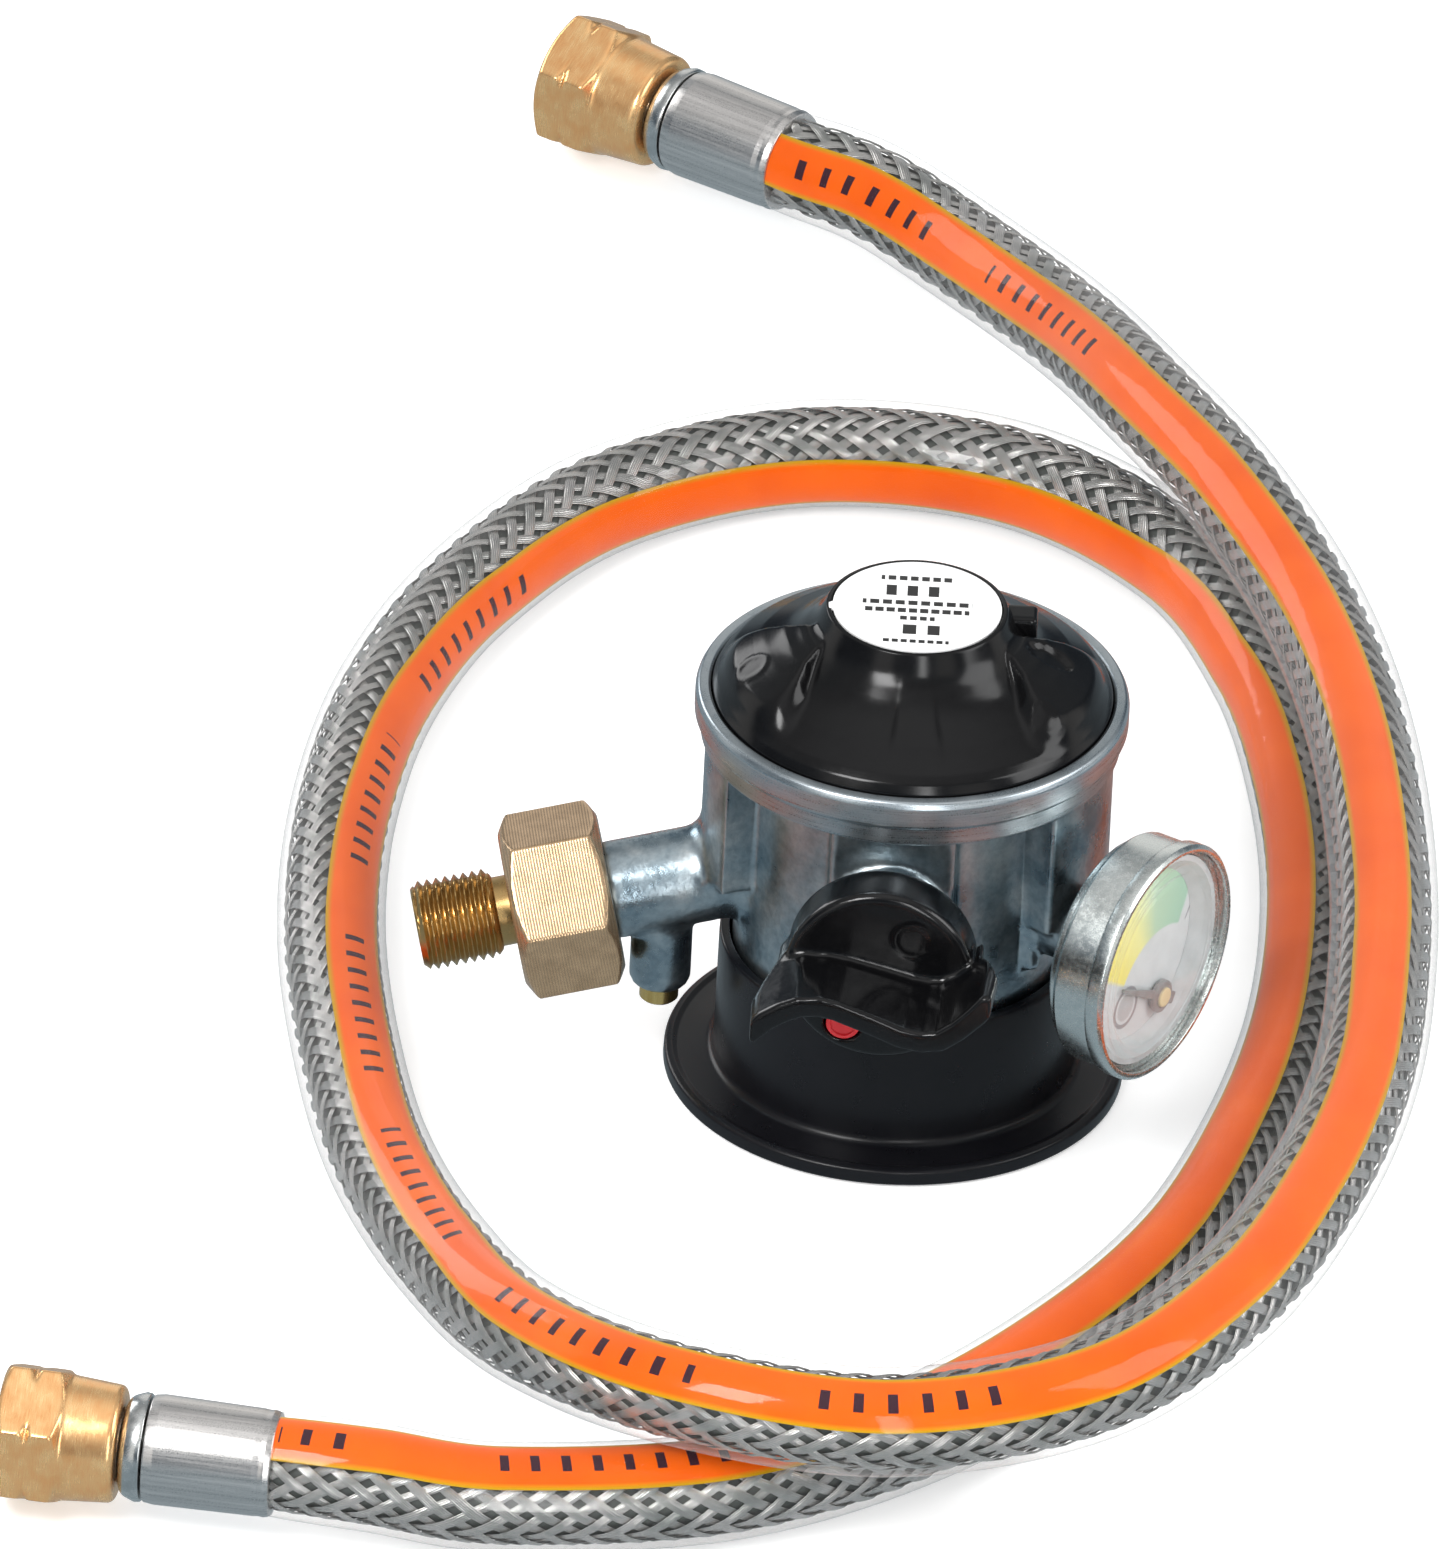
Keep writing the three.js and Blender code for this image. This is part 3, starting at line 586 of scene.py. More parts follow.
def braid_layer(name, way, material):
    """All the bands that turn one way, each going over two and under two of the others."""
    pitch = math.atan(2 * math.pi * BRAID_RADIUS / LEAD)
    columns = len(BAND_SECTION)
    points, faces, across_values = [], [], []
    for band in range(BANDS):
        angle = way * 2 * math.pi * route.run / LEAD + 2 * math.pi * band / BANDS
        weave = way * np.clip(1.5 * np.cos(BANDS / 2 * angle - math.pi / 4), -1, 1)
        rows = []
        for across, rise in BAND_SECTION:
            offset = across * BAND_WIDTH
            run = np.clip(route.run - way * offset * math.sin(pitch), 0, route.length)
            around = angle + offset * math.cos(pitch) / BRAID_RADIUS
            rows.append(route.around(run, (BRAID_RADIUS + WEAVE * weave + rise) * squeeze(run), around))
        start = len(points) * len(route.run) * columns
        points.append(np.stack(rows, axis=1).reshape(-1, 3))
        faces += [tuple(start + k for k in face) for face in capped_tube(len(route.run), columns)]
        across_values.append(np.tile([across + 0.5 for across, _ in BAND_SECTION], len(route.run)))
    piece = new_piece(name, np.vstack(points), faces, material, "regulator", "hose_cover", sharp=75)
    add_value(piece, "across", np.concatenate(across_values))
    return piece


PRINTED = [(0.3, 4.2), (13.5, 23.5), (36, 39)]     # stretches of the route whose stripe carries ticks
STRIPE_HALF = math.radians(33)
STRIPE_RADII = (7.3, 7.62)


def hose_stripe():
    """The coloured strip moulded into the sleeve. It turns slowly about the hose as it runs."""
    knots = [point for point, _ in STRIPE_LEAN]
    lean = np.interp(route.knot, knots, [value for _, value in STRIPE_LEAN])
    smooth = np.hanning(41) / np.hanning(41).sum()
    lean = np.convolve(np.pad(lean, 20, mode="edge"), smooth, mode="valid")
    facing = np.array(to_viewer) - route.along * (route.along @ np.array(to_viewer))[:, None]
    facing /= np.linalg.norm(facing, axis=1, keepdims=True)
    right = np.cross(route.along, facing)
    middle = route.angle_of(np.sqrt(1 - lean ** 2)[:, None] * facing + lean[:, None] * right)
    steps = 12
    share = np.linspace(-1, 1, steps + 1)
    section = [(STRIPE_RADII[1], value) for value in share]
    section += [(STRIPE_RADII[0], value) for value in share[::-1]]
    radius, turn_share = np.array(section).T
    run = np.repeat(route.run[:, None], len(section), axis=1)
    angle = middle[:, None] + turn_share * STRIPE_HALF
    points = route.around(run, radius * squeeze(run), angle).reshape(-1, 3)
    faces = capped_tube(len(route.run), len(section))
    piece = new_piece("hose_stripe", points, faces, stripe_material(), "regulator", "hose_cover")
    add_value(piece, "across", np.tile((turn_share + 1) / 2, len(route.run)))
    add_value(piece, "run", run)
    printed = np.zeros(len(route.run))
    for start, end in PRINTED:
        printed[(route.knot > start) & (route.knot < end)] = 1
    add_value(piece, "printed", np.repeat(printed, len(section)))
    return piece


wire = wire_material()
lining = moulded("hose_lining", (0.070, 0.078, 0.072), (0.3, 0.5), 300, 0.02)
hose_core = straight_tube("hose_core", CORE_RADIUS, 24, lining)
braid_right = braid_layer("hose_braid_right", 1, wire)
braid_left = braid_layer("hose_braid_left", -1, wire)
stripe = hose_stripe()
clear_sleeve = clear_skin("clear_sleeve", (0.80, 0.76, 0.74), 0.004, 0.40, 0.08, 0.35)
sleeve = straight_tube("hose_sleeve", HOSE_RADIUS, 40, clear_sleeve)
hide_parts("hose_tube")


# -------- solids from distance fields

class Field:
    """A block of small cells in some frame, each holding the distance to a surface, negative inside."""

    def __init__(self, matrix, low, high, cell):
        self.matrix, self.low, self.cell = matrix, np.array(low, float), cell
        spans = [np.arange(a, b + cell, cell, dtype=np.float32) for a, b in zip(low, high)]
        self.axes = np.meshgrid(*spans, indexing="ij")

    def seen_from(self, matrix):
        """The coordinates of every cell in another frame."""
        change = np.array(matrix.inverted() @ self.matrix, dtype=np.float32)
        x, y, z = self.axes
        return [row[0] * x + row[1] * y + row[2] * z + row[3] for row in change[:3]]

    def piece(self, name, field, material, body, slot, **options):
        """The surface where the field is zero, as a smooth piece."""
        grid = vdb.FloatGrid()
        grid.background = 3.0
        grid.copyFromArray(np.ascontiguousarray(field, dtype=np.float32))
        points, quads = grid.convertToQuads(isovalue=0.0)
        points = points * self.cell + self.low
        corners = [points[quads[:, k]] for k in range(4)]
        volume = (np.cross(corners[2] - corners[0], corners[3] - corners[1]) * corners[0]).sum()
        if volume < 0:
            quads = quads[:, ::-1]
        piece = new_piece(name, points, quads.tolist(), material, body, slot, self.matrix, **options)
        add_local(piece, self.matrix)
        return piece


def join(a, b, blend=0.0):
    """The union of two fields, with a fillet where they meet if a blend is given."""
    if not blend:
        return np.minimum(a, b)
    overlap = np.maximum(blend - np.abs(a - b), 0) / blend
    return np.minimum(a, b) - overlap * overlap * blend / 4


def cut(a, b):
    """What's left of one field when another is taken out of it."""
    return np.maximum(a, -b)


def rounded_edge(side, end, edge):
    """Two walls that meet at right angles in an edge of some radius, each given with that radius added."""
    return np.minimum(np.maximum(side, end), 0) + np.hypot(np.maximum(side, 0), np.maximum(end, 0)) - edge


def rod_field(axes, radius, low, high, edge=0.0):
    """A round bar along Z with rounded edges."""
    x, y, z = axes
    side = np.hypot(x, y) - radius + edge
    end = np.abs(z - (low + high) / 2) - (high - low) / 2 + edge
    return rounded_edge(side, end, edge)


def block_field(axes, low, high, edge=0.0):
    """A box with rounded edges."""
    gaps = [np.abs(v - (a + b) / 2) - (b - a) / 2 + edge for v, a, b in zip(axes, low, high)]
    outside = np.sqrt(sum(np.maximum(gap, 0) ** 2 for gap in gaps))
    return outside + np.minimum(np.maximum(np.maximum(gaps[0], gaps[1]), gaps[2]), 0) - edge


def hex_field(axes, flats, low, high, turn, low_face, high_face):
    """A hexagon bar along Z. Its ends are chamfered at 30 degrees down to the radius of a round face."""
    x, y, z = axes
    field = np.maximum(low - z, z - high)
    for k in range(3):
        angle = math.radians(turn + 30 + 60 * k)
        field = np.maximum(field, np.abs(x * math.cos(angle) + y * math.sin(angle)) - flats / 2)
    slope = math.radians(30)
    for face, height in ((low_face, low - z), (high_face, z - high)):
        cone = (np.hypot(x, y) - face) * math.sin(slope) + height * math.cos(slope)
        field = np.maximum(field, cone)
    return field


def softened(field, amount):
    """A field whose convex edges are rounded, by blurring it over its neighbours."""
    for axis in range(3):
        ahead, behind = np.roll(field, 1, axis), np.roll(field, -1, axis)
        field = field * (1 - amount) + (ahead + behind) * amount / 2
    return field


# -------- body casting

BARREL, RIM_BAND, RIM = 24.4, 30.5, 31.5         # radii
PAD_RADIUS, PAD_BOTTOM = 29.8, 36
LEFT_PAD, RIGHT_PAD = (150, 208), (-44, 24)      # azimuths


def polar(radius, azimuth):
    """The x and y of a point, from its radius and its azimuth in degrees."""
    return radius * np.cos(np.radians(azimuth)), radius * np.sin(np.radians(azimuth))


def sector_field(x, y, start, end):
    """The wedge between two azimuths, under 180 degrees apart."""
    a, b = math.radians(start), math.radians(end)
    return np.maximum(x * math.sin(a) - y * math.cos(a), y * math.cos(b) - x * math.sin(b))


def body_casting():
    block = Field(UPRIGHT, (-54, -37, -1), (35, 34, 66), 0.68)
    x, y, z = here = block.axes
    barrel = join(rod_field(here, 19, 0, 20), rod_field(here, BARREL, 13.8, 60, 0.6))
    pads = rod_field(here, PAD_RADIUS, PAD_BOTTOM, 60, 0.8)
    for azimuths in (LEFT_PAD, RIGHT_PAD):
        barrel = join(barrel, np.maximum(pads, sector_field(x, y, *azimuths)), 0.8)
    out = block.seen_from(OUTLET)
    stub = rod_field(out, 7.15, 18, 44.1, 0.4)
    barrel = join(barrel, stub, 2.4)
    barrel = join(barrel, rod_field(out, 6.75, 40, 50.6, 0.3))
    boss = (x - BUTTON_PLACE.x, y - BUTTON_PLACE.y, z)
    barrel = join(barrel, rod_field(boss, 4.5, 15, 31, 1.6), 1.6)
    control = block.seen_from(CONTROL)
    middle = CONTROL.translation.z
    low, high = (-9.2, 36 - middle, 18), (9.2, 58 - middle, 25.3)
    barrel = join(barrel, block_field(control, low, high, 0.3), 0.3)
    barrel = join(barrel, rod_field(control, 9, 18, 32.7, 0.4), 1.2)
    dial = block.seen_from(GAUGE)
    barrel = join(barrel, rod_field(dial, 5, 18, 31, 0.3), 1.2)
    rib_x, rib_y = polar(24.6, -40)
    barrel = join(barrel, rod_field((x - rib_x, y - rib_y, z), 1.7, 28, 58, 0.8), 0.5)
    rim = join(rod_field(here, RIM_BAND, 57, 63, 0.5), rod_field(here, RIM, 60, 64.5, 1.3), 0.3)
    barrel = join(barrel, rim, 0.7)
    holes = [
        rod_field(here, 13.9, -3, 13), rod_field(here, 10.3, 12, 16), rod_field(here, 6.5, 15, 21.5),
        rod_field(here, 3.3, 20, 28), rod_field(here, 6.5, 26.2, 46), rod_field(here, 21.8, 49, 62),
        rod_field(here, 28, 59, 62), rod_field(here, 29.6, 60.5, 70), rod_field(out, 4.5, 15, 60),
        rod_field(control, 4.3, -9.3, 40), rod_field(dial, 4.3, 19.4, 40),
        rod_field(boss, 3.15, 10, 25.3),
    ]
    for k in range(6):
        ball = outward_frame((*polar(1, 60 * k + 30), 0), 4)
        holes.append(rod_field(block.seen_from(ball), 3.3, 12, 21))
    for hole in holes:
        barrel = cut(barrel, hole)
    # Room under the outlet for the locking ring's wall to rise into.
    sleeve_room = np.maximum(rod_field(here, 27.0, -5, 27.6), BARREL + 0.2 - np.hypot(x, y))
    barrel = cut(barrel, sleeve_room)
    # The ears that carry the lever's pin stand on the chamber's floor.
    for side in (-1, 1):
        ear = block_field(here, (-10.2, 4 * side - 1, 48), (-6.8, 4 * side + 1, 56.5), 0.3)
        pin_hole = np.hypot(x + 8.5, z - 55.2) - 1.15
        barrel = join(barrel, cut(ear, pin_hole))
    block.piece("regulator_body", barrel, zinc, "regulator", "cast_zinc", replaces=("body_casting",),
                sharp=50)


def body_rim():
    """The turned rim that holds the cap, a skin over the casting's own rim."""
    outline = [
        (29.4, 60.7), (29.4, 64.35, 0.2), (29.8, 64.6, 0.15), (31.2, 64.55, 0.6), (31.65, 63.6, 0.8),
        (31.65, 60.4, 0.7), (30.75, 59.8, 0.5), (30.65, 57.0, 0.5), (29.9, 56.6), (29.9, 60.7),
    ]
    turned_piece("body_rim", outline, 200, rim_zinc, "regulator", "cast_zinc", UPRIGHT, sharp=50)


button_low, button_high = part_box("reset_button")
BUTTON_PLACE = (button_low + button_high) / 2 / MM - AXIS
rim_tones = ((0.36, 0.42, 0.46), (0.60, 0.65, 0.68))
rim_zinc = spotted_steel("rim_zinc", rim_tones, (0.24, 0.38), (0.12, 0.12, 4.0), 1.0, 0.008)
body_casting()
body_rim()


# -------- cap and label

CROWN = 13.2
CAP_FLANK = [
    (10.3, 78), (12.5, 78), (12.6, 78.7, 0.1), (CROWN, 78.6, 0.25), (14.9, 75.3, 9), (19.0, 71.2, 12),
    (23.6, 69.2, 4), (27.4, 66.9, 3), (28.5, 65.9, 1.5), (29.2, 64.7, 0.5), (29.2, 62.0), (20, 62.0),
    (20, 66.8), (14, 71.6), (10.3, 71.6),
]
LOBES = (196, 344)                 # azimuths of the raised ears
LOBE_END = 28.2                    # the radius that they reach
CAP_COLUMNS = 300


def bell(distance, width):
    return np.exp(-(distance / width) ** 2)


def cap_relief(radius, azimuth):
    """How far the ears and the small moulded marks stand over the plain flank."""
    flank = CAP_FLANK[3:10]
    plain = np.interp(radius, [point[0] for point in flank], [point[1] for point in flank])
    ear_top = np.interp(radius, [13, 17, 22, 27.5, 29], [76.8, 75.2, 72.7, 69.2, 67.4])
    total = np.zeros_like(radius)
    for centre in LOBES:
        turn = (azimuth - centre + 180) % 360 - 180
        half = np.interp(radius, [13.5, 15, 21, 25, 29], [5, 12, 25, 29.5, 31])
        across, along = np.abs(turn) / half, np.clip((radius - CROWN) / (LOBE_END - CROWN), 0, 2)
        reach = (across ** 5 + along ** 9) ** (1 / 5)
        inside = np.clip((1.10 - reach) / 0.34, 0, 1)
        inside = inside * inside * (3 - 2 * inside)
        inside = inside * np.clip((radius - CROWN - 0.3) / 2.5, 0, 1)
        total = np.maximum(total, inside * np.maximum(ear_top - plain, 0))
    x, y = polar(radius, azimuth)
    for mark in (196, 322):
        mark_x, mark_y = polar(24.6, mark)
        total += 0.16 * bell(np.hypot(x - mark_x, y - mark_y) - 2.1, 0.30)
    pocket = np.hypot((x - 19.6) / 3.3, (y + 3.4) / 2.0)
    total -= 0.9 * np.clip((1.1 - pocket) / 0.35, 0, 1)
    panel = np.clip((9.5 - np.abs((azimuth - 272 + 180) % 360 - 180)) / 1.2, 0, 1) * bell(radius - 20.5, 3.4)
    return total + 0.35 * panel


def bonnet_cap():
    outline = rounded(CAP_FLANK)
    done = [outline[0]]
    for here in outline[1:]:
        parts = max(1, int(np.linalg.norm(here - done[-1]) / 0.35))
        done += list(np.linspace(done[-1], here, parts + 1)[1:])
    outline = np.array(done)
    azimuth = np.linspace(0, 360, CAP_COLUMNS, endpoint=False)
    radius, azimuth = np.meshgrid(outline[:, 0], azimuth, indexing="ij")
    height = np.repeat(outline[:, 1:], CAP_COLUMNS, axis=1)
    outer_side = np.arange(len(outline)) < len(outline) * 0.75
    top = (outline[:, 1] > 64.8) & (outline[:, 0] > CROWN - 0.2) & outer_side
    height = height + np.where(top[:, None], cap_relief(radius, azimuth), 0)
    points = np.stack([*polar(radius, azimuth), height], axis=-1).reshape(-1, 3)
    points, faces = clean(points, ring_faces(len(outline), CAP_COLUMNS))
    new_piece("cap", points, faces, cap_black, "regulator", "black_plastic", UPRIGHT, sharp=48,
              replaces=("bonnet_cap",))
    lug = Field(UPRIGHT, (10.5, -0.5, 68), (19, 6.5, 78.5), 0.28)
    shape = block_field(lug.axes, (11.6, 0.75, 69), (17.6, 5.25, 77), 0.7)
    lug.piece("cap_lug", shape, cap_black, "regulator", "black_plastic", sharp=60)


# Rows of bars on the label: (place, half height, half length, bars in 1.3 mm, gap's share of each).
LABEL_ROWS = [
    (-9.6, 0.45, 4.8, 1.0, 0.30), (-6.4, 1.3, 3.4, 0.36, 0.45), (-3.3, 0.55, 2.6, 0.9, 0.30),
    (-1.2, 0.6, 7.6, 0.8, 0.25), (0.9, 0.6, 8.0, 0.7, 0.28), (4.2, 1.4, 4.6, 0.42, 0.5),
    (7.6, 0.6, 5.4, 0.8, 0.30),
]


def label_print():
    """White foil with plain bars in rows, where a real label has its words."""
    material, tree, shader = new_material("label_print")
    x, y = read_value(tree, "x"), read_value(tree, "y")
    ink = None
    for place, half, run, count, gap in LABEL_ROWS:
        bar = (x * (count / 1.3)).apply("FRACT") > gap
        mark = (abs(y - place) < half) * (abs(x) < run) * bar
        ink = mark if ink is None else ink.apply("MAXIMUM", mark)
    wear = noise(tree, object_place(tree), 500, 3)
    paper = wear.ramp((0.3, (0.84, 0.84, 0.84)), (0.6, (0.92, 0.92, 0.92)))
    colour = mix_colour(tree, ink, paper, (0.02, 0.02, 0.02))
    attach(tree, shader, Base_Color=colour, Roughness=0.4, Specular_IOR_Level=0.4)
    return material


def cap_label():
    """A thin disc with a small pull tab at its left."""
    rows = [(0.02, 78.35), (0.5, 78.35), (1, 78.35), (1, 78.75), (0.985, 78.8), (0.5, 78.8), (0.02, 78.8)]
    columns = 180
    azimuth = np.linspace(0, 360, columns, endpoint=False)
    tab = np.abs(azimuth - 183) < 3.2
    reach = 12.3 + 0.6 * tab
    points = [
        np.stack([*polar(share * reach, azimuth), height + 0 * azimuth], axis=-1) for share, height in rows
    ]
    points = np.array(points).reshape(-1, 3)
    faces = capped_tube(len(rows), columns)
    piece = new_piece("label", points, faces, label_print(), "regulator", "label", UPRIGHT,
                      replaces=("cap_label",))
    add_value(piece, "x", points[:, 0])
    add_value(piece, "y", points[:, 1])


cap_black = moulded("cap_black", (0.004, 0.004, 0.0045), (0.14, 0.20), 420, 0.008, 0.30)
bonnet_cap()
cap_label()


# -------- knob and locking ring

# The blade's middle line across the knob, and half its thickness.
BLADE = [
    (-17.4, -3.2), (-15.4, -1.1), (-13, 0.6), (-10.4, 1.9), (-7.5, 2.3), (-5, 1.8), (0, 0), (4.5, -1.8),
    (7.5, -2.3), (10.2, -1.8), (12.8, 0.3), (15.2, 2.9), (16.8, 5.0),
]
BLADE_HALF, BLADE_FRONT, BLADE_EDGE = 1.6, 54.5, 0.5
DOT = (-4.8, -8.4)                 # the red mark's place on the disc


def knob():
    block = Field(CONTROL, (-20.5, -15, 32), (20.5, 15, 55.5), 0.38)
    x, y, z = here = block.axes
    disc = rod_field(here, 13.8, 33, 41, 1.1)
    # The wave deepens from the disc to the blade's front.
    wave = np.interp(x, *np.transpose(BLADE))
    y = y + wave * 0.4 * np.clip((BLADE_FRONT - z) / 13.5, 0, 1) * np.interp(np.abs(x), [9, 14], [1, 0])
    line = np.full_like(x, 99.0)
    for (ax, ay), (bx, by) in zip(BLADE, BLADE[1:]):
        span_x, span_y = bx - ax, by - ay
        share = ((x - ax) * span_x + (y - ay) * span_y) / (span_x ** 2 + span_y ** 2)
        share = np.clip(share, 0, 1)
        line = np.minimum(line, np.hypot(x - ax - share * span_x, y - ay - share * span_y))
    side = line - BLADE_HALF + BLADE_EDGE
    # The blade's ends spread from the disc's edge to half its depth, then draw in a little to its front.
    reach = np.interp(z, [40, 48, BLADE_FRONT], [14.8, 17.8, 17.4])
    end = np.maximum(np.maximum(z - BLADE_FRONT, 36 - z), np.abs(x) - reach) + BLADE_EDGE
    blade = rounded_edge(side, end, BLADE_EDGE)
    y = block.axes[1]
    shape = join(disc, blade, 1.3)
    shape = cut(shape, rod_field(here, 4.3, 30, 38.3))
    shape = cut(shape, rod_field(here, 9.4, 30, 33.2))
    shape = cut(shape, rod_field((x - DOT[0], y - DOT[1], z), 2.8, 40, 43))
    ring = np.abs(np.hypot(x - 4.8, y - 6.7) - 2.7) - 0.22
    shape = cut(shape, np.maximum(ring, 40.8 - z))
    block.piece("knob_grip", shape, knob_black, "knob", "black_plastic", replaces=("knob",), sharp=60)
    outline = [(0, 40.3), (2.5, 40.3), (2.5, 41.15, 0.2), (1.9, 41.25), (1.7, 41.05), (0, 41.05)]
    place = CONTROL @ Matrix.Translation((*DOT, 0))
    turned_piece("knob_dot", outline, 40, red_plastic, "knob", "red_plastic", place,
                 replaces=("knob_red_mark",))


def locking_ring():
    outline = [
        (24.8, 8), (24.8, 23, 0.25), (26.25, 23, 0.45), (26.3, 22), (26.35, 6), (26.4, 2.9, 1.3),
        (31.6, 2.5, 0.8), (32.4, 2.75, 0.4), (33.5, 2.5, 0.6), (33.6, 0.4, 0.4), (32.6, 0, 0.3),
        (20.4, 0), (19.4, 4), (19.4, 8),
    ]
    turned_piece("ring", outline, 160, ring_black, "lock_ring", "black_plastic", UPRIGHT, sharp=40,
                 replaces=("lock_ring",))


knob_black = moulded("knob_black", (0.003, 0.003, 0.0035), (0.13, 0.22), 600, 0.012, 0.45)
ring_black = moulded("ring_black", (0.006, 0.006, 0.008), (0.26, 0.34), 220, 0.012, 0.32)
knob()
locking_ring()


# -------- outlet

NUT_START, NUT_END = 43.6, 58.4
THREAD_START, THREAD_END, CREST, PITCH, THREAD_DEPTH = 60.6, 72.4, 6.58, 1.337, 0.80
CHAMFER = 1.0
TOOL_LINE = 0.42


def turned_brass(name, dark, light, metallic=1.0):
    """Machined brass with fine tool lines round the local outlet axis."""
    material, tree, shader = new_material(name)
    lines = (local_axes(tree)[2] * (2 * math.pi / TOOL_LINE)).apply("SINE")
    tone = noise(tree, object_place(tree), 350, 4).ramp((0.3, dark), (0.7, light))
    dull = lines.remap(-1, 1, 0, 1).ramp((0.1, (0.80, 0.80, 0.80)), (0.7, (1, 1, 1)))
    colour = mix_colour(tree, 1.0, tone, dull, "MULTIPLY")
    attach(tree, shader, Base_Color=colour, Metallic=metallic, Roughness=0.27)
    bump(tree, shader, lines, 0.012, 0.4)
    return material


def union_nut(material):
    block = Field(OUTLET, (-14.5, -14.5, NUT_START - 0.8), (14.5, 14.5, NUT_END + 0.8), 0.23)
    here = block.axes
    nut = hex_field(here, 24, NUT_START, NUT_END, 10, low_face=11.2, high_face=11.0)
    nut = softened(nut, 0.5)
    nut = cut(nut, rod_field(here, 7.4, NUT_START - 2, 56.2))
    nut = cut(nut, rod_field(here, 5.4, 54, NUT_END + 2))
    block.piece("union_nut_hex", nut, material, "union_nut", "brass", replaces=("union_nut",), sharp=70)


def outlet_tail(material):
    """The adapter: a flange inside the nut, a neck, and a left-hand thread with chamfered ends and mouth."""
    columns, steps = 144, 14
    angle = np.linspace(0, 2 * math.pi, columns, endpoint=False)
    before = [
        (3.0, 52.9), (6.9, 52.9), (7.1, 53.1), (7.1, 55.6), (6.9, 55.8), (5.3, 55.8), (5.1, 56.0),
        (5.1, 60.4),
    ]
    after = [(4.6, THREAD_END), (3.0, THREAD_END - 1.6)]
    rows = [(np.full(columns, radius), height) for radius, height in before]
    for height in np.arange(THREAD_START, THREAD_END, PITCH / steps):
        tooth = 2 * np.abs((height / PITCH + angle / (2 * math.pi)) % 1.0 - 0.5)
        radius = CREST - THREAD_DEPTH * np.clip((tooth - 0.10) / 0.80, 0, 1)
        chamfer = CREST - CHAMFER + min(height - THREAD_START, THREAD_END - height)
        rows.append((np.minimum(radius, chamfer), height))
    rows.append((np.full(columns, CREST - CHAMFER), THREAD_END))
    rows += [(np.full(columns, radius), height) for radius, height in after]
    cosine, sine = np.cos(angle), np.sin(angle)
    points = [(radius * cosine, radius * sine, height + 0 * angle) for radius, height in rows]
    points = np.moveaxis(np.array(points), 1, -1).reshape(-1, 3)
    points, faces = clean(points, ring_faces(len(rows), columns))
    piece = new_piece("outlet_tail", points, faces, material, "regulator", "brass", OUTLET, sharp=28,
                      replaces=("outlet_adapter",))
    add_local(piece, OUTLET)


def push_button():
    outline = [(0, 12.3), (2.45, 12.3), (2.85, 12.7), (2.85, 20.8), (0, 20.8)]
    place = UPRIGHT @ Matrix.Translation((BUTTON_PLACE.x, BUTTON_PLACE.y, 0))
    turned_piece("button", outline, 48, button_brass, "reset_button", "brass", place,
                 replaces=("reset_button",))


nut_brass = turned_brass("nut_brass", (0.54, 0.37, 0.22), (0.70, 0.49, 0.30), 0.82)
tail_tones = ((0.44, 0.28, 0.11), (0.62, 0.42, 0.18))
tail_brass = metal("tail_brass", tail_tones, (0.22, 0.32), scale=150, bump_mm=0.003)
button_tones = ((0.75, 0.50, 0.16), (0.92, 0.68, 0.28))
button_brass = metal("button_brass", button_tones, (0.18, 0.28), (1, 1, 0.1), 900, 0.02)
union_nut(nut_brass)
outlet_tail(tail_brass)
push_button()


# -------- gauge

def sector_mask(angle, start, end, soft=3.0):
    """1 between two angles in degrees, fading at both."""
    rise = angle.remap(start - soft, start + soft, 0, 1)
    return rise * angle.remap(end - soft, end + soft, 1, 0)


def from_hub(tree):
    """The local x and y, measured from the needle's pivot."""
    x, y, _ = local_axes(tree)
    return x - HUB.x, y - HUB.y


def dial_material():
    """A white dial with a band that runs from yellow to green, a small round window and two ticks."""
    material, tree, shader = new_material("dial_face")
    x, y = from_hub(tree)
    reach = length(x, y)
    angle = y.apply("ARCTAN2", x) * (180 / math.pi)
    band = reach.remap(10.7, 11.1, 0, 1) * sector_mask(angle, 61, 147, 1.5)
    colour = angle.remap(55, 150, 0, 1).ramp(
        (0.1, (0.32, 0.55, 0.40)), (0.42, (0.42, 0.60, 0.42)), (0.62, (0.80, 0.78, 0.30)),
        (0.9, (0.86, 0.76, 0.16)),
    )
    wear = noise(tree, object_place(tree), 300, 2)
    paper = wear.ramp((0.3, (0.58, 0.61, 0.62)), (0.7, (0.66, 0.69, 0.70)))
    face = mix_colour(tree, band, paper, colour)
    for tick in (40, 52):
        mark = sector_mask(angle, tick, tick + 1.2, 0.2) * abs(reach - 13.2).remap(1.4, 1.5, 1, 0)
        face = mix_colour(tree, mark, face, (0.20, 0.20, 0.22))
    window = length(x + 8.4, y - 1.9)
    for mark in (abs(window - 3.0).remap(0.25, 0.4, 1, 0), window.remap(2.0, 2.3, 1, 0) * 0.5):
        face = mix_colour(tree, mark, face, (0.30, 0.29, 0.30))
    attach(tree, shader, Base_Color=face, Roughness=0.45)
    return material


def gauge_part(name, outline, material, slot, **options):
    return turned_piece(name, outline, 128, material, "regulator", slot, GAUGE, **options)


